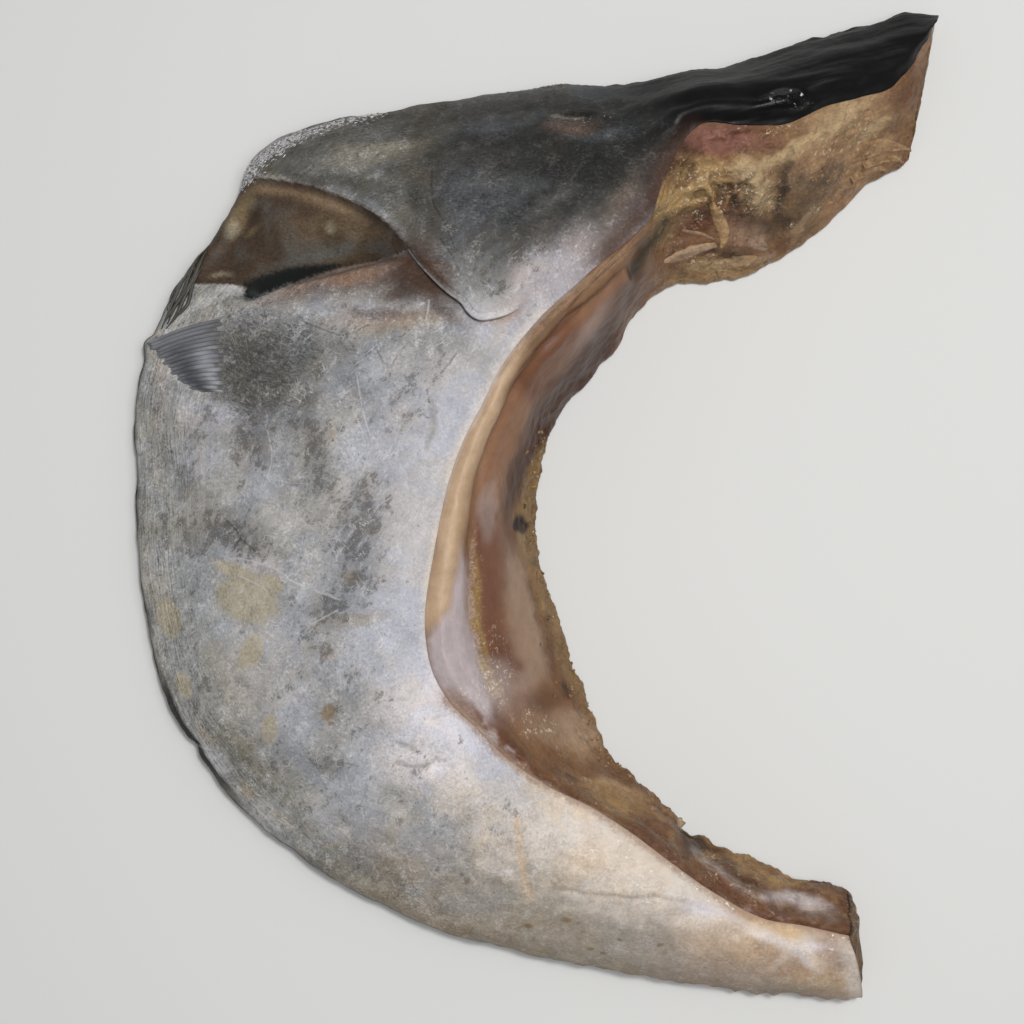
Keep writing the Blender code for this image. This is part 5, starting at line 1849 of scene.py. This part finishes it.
def model_fan(form, tints, surface, material):
    """The ribbed fan of the folded fin."""
    rows, columns = 46, RAYS * 9 + 1
    across = np.linspace(0, 1, columns)
    ray_end = 0.8 * np.sin(np.floor(across * RAYS) * 2.4)
    start = through(FAN_LOW, across * (len(FAN_LOW) - 1))
    start[:, 0] += ray_end * ramp(0, 0.2, across)
    end = blend(*FAN_RIGHT, across)
    end[:, 0] += 1.5 * ray_end
    bend = np.column_stack(
        [start[:, 0] + 0.45 * (end - start)[:, 0], end[:, 1] * 0.75 + start[:, 1] * 0.25 + 0.8]
    )
    u = np.linspace(0, 1, rows)[:, None, None]
    plan = (1 - u) ** 2 * start + 2 * u * (1 - u) * bend + u**2 * end
    u = u[..., 0]
    crest = 1 - (np.abs((across * RAYS) % 1 - 0.5) * 2) ** 3
    border = between(across, 0, 0.03, 0.97, 1) * between(u, -0.02, 0.1, 0.93, 1.01)
    waves = 0.1 * np.sin(5 * u + 9 * across[None, :])
    lift = -0.25 + (0.35 + waves + form.ray_height / MM * crest) * border
    item, along, across = laid_sheet("fin_fan", plan, lift, 0.5, surface)

    ray = np.abs((across * RAYS) % 1 - 0.5) * 2
    uneven = weave(along * 3, across * 9, 91)
    # Painted sheen: the rays are lighter in a band about three quarters of the way along. They are darker
    # nearer their start and at their far ends, and dark in the grooves between them.
    light = 0.5 + 0.5 * near(along - 0.74 - 0.1 * uneven, 0.16) * ramp(0.25, 0.5, across) + 0.16 * uneven
    light -= 0.3 * near(along - 0.3, 0.22) * ramp(0.2, 0.4, across)
    light -= 0.25 * near(along - 0.96, 0.06) * ramp(0.2, 0.5, across)
    light *= 1 - 0.7 * ramp(0.62, 0.98, ray) * (0.8 + 0.5 * uneven)
    shade = blend(np.array(tints.fin_dark) * 0.6, tints.fin_light, np.clip(light, 0, 1.2))
    shade = blend(shade, tints.upper, 0.8 * ramp(0.82, 1, along + 0.14 * uneven))
    shade = blend(shade, tints.edge, 0.9 * ramp(0.08, 0, along) * ramp(0.35, 0.1, across))
    give(item, paint=shade)
    finish_piece(item, material)


def model_blades(tints, surface, material):
    """The blades of the fin's first rays, along the outer edge."""
    items = []
    for number, (share, first, last, width) in enumerate(BLADES):
        at = np.linspace(first, last, 14) * (len(BLADES_OUT) - 1)
        bow = 0.12 * np.sin(np.linspace(0, 7, 14) + number * 2)
        line = blend(through(BLADES_OUT, at), through(BLADES_IN, at), share + bow)
        widths = (0.2, 0.9 * width, width, width, 0.8 * width, 0.15)
        plan, u, across = ribbon(line, widths, 60, 9)
        rise = 0.35 + 0.9 * np.cos(np.pi / 2 * across) ** 0.7 * between(u, 0, 0.15, 0.8, 1)
        rise = rise + 0.2 * (number % 2) + np.maximum(FIN_FLOOR - surface.heights(plan), 0)
        item, along, across = laid_sheet("blade", plan, rise, 0.5, surface)
        # Each blade is painted lighter in a line along one side, a painted highlight, and darker at its
        # edges, painted shade.
        shade = 0.5 + 0.18 * weave(along * 5, across * 2, 92, number)
        shade += 0.35 * ramp(0.25, 0, np.abs(across - 0.8)) - 0.45 * ramp(0.65, 1, np.abs(across - 0.5) * 2)
        give(item, paint=blend(tints.edge, np.array(tints.upper) * 1.05, np.clip(shade, 0, 1.1)))
        items.append(item)
    finish_piece(joined(items, "fin_blades"), material)


# Each overlap: its line, its widths, its reach over the line, its edge's colour and how strong that is.
OVERLAPS = (
    ("flap_lip", FLAP_EDGE, (1.6, 4.5, 5, 5, 5, 4), 0.9, "bloom", 0.45),
    ("pocket_lip", POCKET_FOLD, (1, 4, 4.5, 4.5, 4, 1.5), 0.7, "fold_tan", 0.7),
)


def model_overlap(name, line, widths, reach, tint, amount, tints, surface, look):
    """The overhanging edge of a fold of skin, which takes its looks from the skin behind it."""
    plan, u, across = ribbon(line, widths, 170, 14)
    across = (across + 1) / 2
    step = plan[:, -1:] - plan[:, :1]
    plan = plan + step * 0.5 - step / np.maximum(np.linalg.norm(step, axis=2, keepdims=True), 0.1) * reach
    rough = weave(plan[..., 0] / 2.2, plan[..., 1] / 2.2, 93, octaves=2)
    top = np.convolve(np.pad(surface.heights(plan[:, 5]), 6, mode="edge"), np.ones(13) / 13, mode="valid")
    below = surface.heights(plan)
    edge_height = top[:, None] + 0.2 - 0.6 * ramp(0.2, 0, across) ** 2 + 0.15 * rough
    settle = ramp(0.3, 0.95, across)
    height = edge_height * (1 - settle) + (below - 0.5) * settle
    lift = np.maximum(height - below + 0.5, 0) * between(u, 0, 0.08, 0.9, 1) - 0.5
    item, _, across = laid_sheet(name, plan, lift, 0.5, surface, look)
    tint_edge(item, getattr(tints, tint), amount * ramp(0.22, 0.04, across))
    finish_piece(item, look.material)


def model_froth(form, tints, surface, material):
    """White shreds along the top left edge, then olive ones along the top."""
    random = np.random.default_rng(11)
    size = form.froth_size / MM
    shapes = grain_shapes(1, 0.5)
    spots = []
    line = through(FROTH_LINE, np.linspace(0, len(FROTH_LINE) - 1, 200))
    step = np.gradient(line, axis=0)
    for _ in range(form.froth_count):
        share = random.beta(0.9, 1.5)
        index = min(int(share * 199), 199)
        inward = np.array([step[index, 1], -step[index, 0]]) / np.linalg.norm(step[index])
        thick = np.interp(share, (0, 0.12, 0.45, 0.6, 1), (1.6, 4.2, 3.6, 3, 2.4))
        x, y = line[index] + inward * (abs(random.normal(0, 0.5)) * thick - 0.3) + random.normal(0, 0.2, 2)
        height = surface.height(x, y)
        clump = noise.noise(Vector((x, y, 0)) / 1.6)
        if height < 1 or clump < random.uniform(-0.5, 0.35):
            continue
        along = math.atan2(*step[index][::-1]) + random.normal(0, 0.28)
        long = size * random.uniform(0.5, 1.5)
        sizes = long * np.array([1.5, random.uniform(0.16, 0.36), random.uniform(0.16, 0.32)])
        tint = (tints.white, tints.bloom, tints.shine, tints.upper)[random.integers(4)]
        spots.append(((x, y, height + 0.1), sizes, along, varied(tint, random, 0.22)))
    for _ in range(220):
        x, y = random.uniform(-6, 14), 147.6 + random.normal(0, 0.5)
        for drop in range(8):
            height = surface.height(x, y - 0.4 * drop)
            if height > 3:
                break
        sizes = size * random.uniform(0.4, 1.1) * np.array([1, 0.4, 0.35])
        tint = tints.olive if random.random() < 0.6 else tints.umber
        place = (x, y - 0.4 * drop, height + 0.1)
        spots.append((place, sizes, random.uniform(0, 3.1), varied(tint, random, 0.3)))
    finish_piece(scattered("frayed_skin", shapes, spots, random), material)


# Each strand: its name, its line, its widths, how high it stands, its colour and how strong that is.
STRANDS = (
    ("sinew", ((60, 105), (61.8, 102.5), (63.8, 100), (65.3, 97.5), (65.8, 95), (64.8, 92.4)),
     (1.2, 3.6, 5.2, 5.2, 3.4, 0.6), 1, "sinew", 0.85),
    ("tendon", ((45, 87.4), (49.5, 89.3), (54.7, 91.3), (59.8, 92.8), (64.8, 94)),
     (0.6, 3, 3.6, 2.6, 1), 0.8, "cream", 0.75),
    ("strand_high", ((50.5, 96.8), (57, 96.4), (63.3, 94.9)), (0.5, 1.5, 1.4, 0.5), 0.6, "cream", 0.45),
    ("strand_low", ((52, 87.8), (58.5, 87.6), (65.4, 88.2), (73.6, 89.9), (79, 91.2)),
     (1, 4, 4.6, 3.6, 0.8), 0.5, "lobe", 0.5),
    ("ridge", ((43.5, 98.2), (37.6, 91.6), (31.5, 85.6), (25.5, 80), (19.5, 74)),
     (0.8, 2.4, 2.2, 1.8, 0.8), 0.7, "granular", 0.55),
)
SHREDS = (
    ((112.5, 124.5), (118.5, 126.6), (124.5, 127.4), (130, 127.6)),
    ((112, 121.5), (117, 123.2), (122, 124), (127.5, 123)),
    ((108, 117), (112.5, 119.4), (117, 120.8), (122, 120.2)),
)
# Each chip: its line, its widths and its colour.
CHIPS = (
    (((74.4, 95.2), (76.6, 95.4), (79, 94.6), (81.2, 93)), (2.6, 5.2, 4.8, 1.6), "pale"),
    (((49.4, -95.4), (50.6, -96), (51.8, -97.2)), (2, 3.4, 2.4), "lobe"),
)


def model_strand(name, line, widths, rise, tint, amount, tints, surface, look):
    """A raised strand, sunk at its sides, in the looks of the flesh under a wash of its own colour."""
    plan, u, across = ribbon(line, widths, 20 * len(line), 13)
    rough = weave(plan[..., 0] / 2.5, plan[..., 1] / 2.5, 94)
    round_over = np.sqrt(np.maximum(1 - across**2, 0)) * between(u, 0, 0.15, 0.85, 1)
    item, along, across = laid_sheet(
        name, plan, (rise + 0.4 + 0.25 * rough) * round_over - 0.4, 0.6, surface, look
    )
    fibre = weave(along * 4, across * 5, 95)
    middle = ramp(1, 0.55, np.abs(across - 0.5) * 2)
    tint_edge(item, getattr(tints, tint), amount * middle * (0.85 + 0.3 * fibre))
    finish_piece(item, look.material)


def model_shreds(tints, surface, look):
    """Torn strips that hang from the low edge near the back end."""
    items = []
    for number, line in enumerate(SHREDS):
        plan, u, across = ribbon(line, (5, 4.2, 2.6, 0.3), 40, 9)
        height = surface.height(*line[0]) * (1 - 0.75 * u) - 0.5 + 0.6 * across**2
        height += 0.5 * np.sin(6 * u + number)
        below = surface.heights(plan)
        height = np.maximum(height, np.where(below > 0.5, below + 0.3 * ramp(0, 0.15, u), 0.8))
        item, along, across = laid_sheet("shred", plan, height - below, 0.6, surface, look)
        fibre = weave(along * 3, across * 4, 96, number)
        tint_edge(item, tints.beige, np.clip(0.5 + fibre, 0.2, 0.9) * ramp(0.05, 0.5, along))
        items.append(item)
    finish_piece(joined(items, "shreds"), look.material)


def model_chips(tints, surface, look):
    """A thin pale chip at the low edge of the back, and a cream flake at the foot of the belly."""
    items = []
    for line, widths, tint in CHIPS:
        plan, u, across = ribbon(line, widths, 30, 12)
        plan = plan + 0.35 * weave(plan[..., 0] / 1.6, plan[..., 1] / 1.6, 97)[..., None]
        lift = 0.3 - 0.45 * np.maximum(np.abs(across), np.abs(2 * u - 1)) ** 4
        item, along, across = laid_sheet("chip", plan, lift, 0.4, surface, look)
        middle = ramp(1, 0.45, np.abs(across - 0.5) * 2) * ramp(1, 0.6, np.abs(along - 0.5) * 2)
        tint_edge(item, getattr(tints, tint), 0.25 + 0.65 * middle)
        items.append(item)
    finish_piece(joined(items, "chips"), look.material)


def model_crumbs(form, tints, surface, material):
    """Crumbs of flesh along the inner foot."""
    random = np.random.default_rng(5)
    shapes = grain_shapes(2, 1)
    size = form.crumb_size / MM
    spots = []
    for _ in range(form.crumb_count):
        place = random.uniform(*FOOT_LINE_PLACES)
        row = Sections(np.array([place, place + 0.01]))
        reach = row.depth[0, 0] * (1 - 0.1 * abs(random.normal(0, 1))) - 0.5
        x, y = row.rim[0] + row.down[0] * reach
        height = max(surface.height(x, y) * random.uniform(0.5, 1), 1)
        long = size * random.uniform(0.4, 1.1)
        sizes = long * np.array([1, random.uniform(0.5, 0.9), random.uniform(0.5, 0.8)])
        tint = (tints.tan, tints.end, tints.amber, tints.tan)[random.integers(4)]
        spots.append(((x, y, height), sizes, random.uniform(0, 3.1), varied(tint, random, 0.2)))
    finish_piece(scattered("crumbs", shapes, spots, random), material)


def lay_floor(look):
    """The plain floor, just under the piece."""
    deselect()
    bpy.ops.mesh.primitive_plane_add(size=6, location=(0, 0, -0.0004))
    floor = bpy.context.object
    floor.name = "floor"
    bpy.ops.object.transform_apply(location=True)
    material = bpy.data.materials.new("Floor")
    material.use_nodes = True
    shader = material.node_tree.nodes["Principled BSDF"]
    shader.inputs["Base Color"].default_value = (*look.floor, 1)
    shader.inputs["Roughness"].default_value = 0.7
    floor.data.materials.append(material)


def hang_lamps(look):
    """A large soft lamp, and a small one for the highlights."""
    for name, power, side, place in (
        ("Soft lamp", look.soft_power, 0.7, (0.3, 0.02, 1.25)),
        ("Key lamp", look.key_power, 0.14, (0.2, 0.16, 1.2)),
    ):
        lamp = bpy.data.lights.new(name, "AREA")
        lamp.energy = power
        lamp.size = side
        item = bpy.data.objects.new(name, lamp)
        item.location = place
        item.rotation_euler = (-Vector(place)).to_track_quat("-Z", "Y").to_euler()
        bpy.context.scene.collection.objects.link(item)


def stand_camera(scene):
    """The camera stands over the piece, tilted a little, as in the photograph."""
    stand = Vector((-1.33, -43.03, 648.75)) * MM
    aim = Vector((-8.7, -3.35, 0)) * MM
    roll = math.radians(-0.23)
    focal_pixels = 1948
    data = bpy.data.cameras.new("Camera")
    data.sensor_width = 36
    data.lens = focal_pixels / PHOTO_SIDE * data.sensor_width
    data.clip_start = 0.01
    camera = bpy.data.objects.new("Camera", data)
    look = (aim - stand).normalized()
    right = look.cross(Vector((0, 1, 0))).normalized()
    up = right.cross(look)
    turned = right * math.cos(roll) + up * math.sin(roll)
    above = up * math.cos(roll) - right * math.sin(roll)
    axes = Matrix((turned, above, -look)).transposed().to_4x4()
    camera.matrix_world = Matrix.Translation(stand) @ axes
    scene.collection.objects.link(camera)
    scene.camera = camera


# Finishes: roughness, shine, unevenness, size of the flecks in metres, share of light under the surface.
FIN_FINISH = (0.42, 0.345, 0.5, 0.0008, 0.15)
FROTH_FINISH = (0.45, 0.33, 0.6, 0.0008, 0.25)
CRUMB_FINISH = (0.3, 0.48, 0.6, 0.0012, 0.25)


class COLLAR_OT_flesh(bpy.types.Operator):
    """Model the flesh: the inner face, the cut ends and the underside"""

    bl_idname = "collar.flesh"
    bl_label = "Flesh"

    def execute(self, context):
        model_flesh(context.scene.collar_form, context.scene.collar_flesh)
        return {"FINISHED"}


class COLLAR_OT_skin(bpy.types.Operator):
    """Model the silver skin, from under the outer edge to its lip at the rim"""

    bl_idname = "collar.skin"
    bl_label = "Skin"

    def execute(self, context):
        model_skin(context.scene.collar_form, context.scene.collar_skin)
        return {"FINISHED"}


class COLLAR_OT_fin(bpy.types.Operator):
    """Model the folded fin: the ribbed fan and the blades of its first rays along the outer edge"""

    bl_idname = "collar.fin"
    bl_label = "Fin"

    def execute(self, context):
        tints = context.scene.collar_skin
        surface = Surface()
        material = painted_material("Fin", *FIN_FINISH)
        model_fan(context.scene.collar_form, tints, surface, material)
        model_blades(tints, surface, material)
        return {"FINISHED"}


class COLLAR_OT_frills(bpy.types.Operator):
    """Model the lip of the skin flap and the frayed skin along the top edge"""

    bl_idname = "collar.frills"
    bl_label = "Frayed skin"

    def execute(self, context):
        tints = context.scene.collar_skin
        surface = Surface()
        look = Look("skin")
        for row in OVERLAPS:
            model_overlap(*row, tints, surface, look)
        model_froth(context.scene.collar_form, tints, surface, painted_material("Frayed skin", *FROTH_FINISH))
        return {"FINISHED"}


class COLLAR_OT_flesh_pieces(bpy.types.Operator):
    """Model the sinew, strands, chips, crumbs and torn shreds of the flesh"""

    bl_idname = "collar.flesh_pieces"
    bl_label = "Sinew, chips and crumbs"

    def execute(self, context):
        tints = context.scene.collar_flesh
        surface = Surface()
        look = Look("flesh")
        for row in STRANDS:
            model_strand(*row, tints, surface, look)
        model_shreds(tints, surface, look)
        model_chips(tints, surface, look)
        model_crumbs(context.scene.collar_form, tints, surface, painted_material("Wet crumbs", *CRUMB_FINISH))
        return {"FINISHED"}


class COLLAR_OT_stage(bpy.types.Operator):
    """Set out the pale floor, the lamps and the camera over the piece"""

    bl_idname = "collar.stage"
    bl_label = "Stage"

    def execute(self, context):
        scene = context.scene
        lay_floor(scene.collar_studio)
        hang_lamps(scene.collar_studio)
        stand_camera(scene)
        world = bpy.data.worlds.new("Studio")
        world.use_nodes = True
        background = world.node_tree.nodes["Background"].inputs
        background["Color"].default_value = (1, 0.995, 0.985, 1)
        background["Strength"].default_value = scene.collar_studio.fill
        scene.world = world
        scene.view_settings.view_transform = "Standard"
        return {"FINISHED"}


GROUPS = (
    ("collar_form", CollarForm),
    ("collar_skin", SkinColours),
    ("collar_flesh", FleshColours),
    ("collar_studio", StudioLook),
)
OPERATORS = (
    COLLAR_OT_flesh,
    COLLAR_OT_skin,
    COLLAR_OT_fin,
    COLLAR_OT_frills,
    COLLAR_OT_flesh_pieces,
    COLLAR_OT_stage,
)


class COLLAR_PT_panel(bpy.types.Panel):
    bl_idname = "COLLAR_PT_panel"
    bl_label = "Tuna collar"
    bl_space_type = "VIEW_3D"
    bl_region_type = "UI"
    bl_category = "Collar"

    def draw(self, context):
        for name, group in GROUPS:
            box = self.layout.box()
            for setting in group.__annotations__:
                box.prop(getattr(context.scene, name), setting)
        for operator in OPERATORS:
            self.layout.operator(operator.bl_idname)


def register():
    for name, group in GROUPS:
        bpy.utils.register_class(group)
        setattr(bpy.types.Scene, name, PointerProperty(type=group))
    for part in (*OPERATORS, COLLAR_PT_panel):
        bpy.utils.register_class(part)


def unregister():
    for part in (COLLAR_PT_panel, *reversed(OPERATORS)):
        bpy.utils.unregister_class(part)
    for name, group in reversed(GROUPS):
        delattr(bpy.types.Scene, name)
        bpy.utils.unregister_class(group)


def main():
    register()
    bpy.ops.collar.flesh()
    bpy.ops.collar.skin()
    bpy.ops.collar.fin()
    bpy.ops.collar.frills()
    bpy.ops.collar.flesh_pieces()
    bpy.ops.collar.stage()


if __name__ == "__main__":
    main()
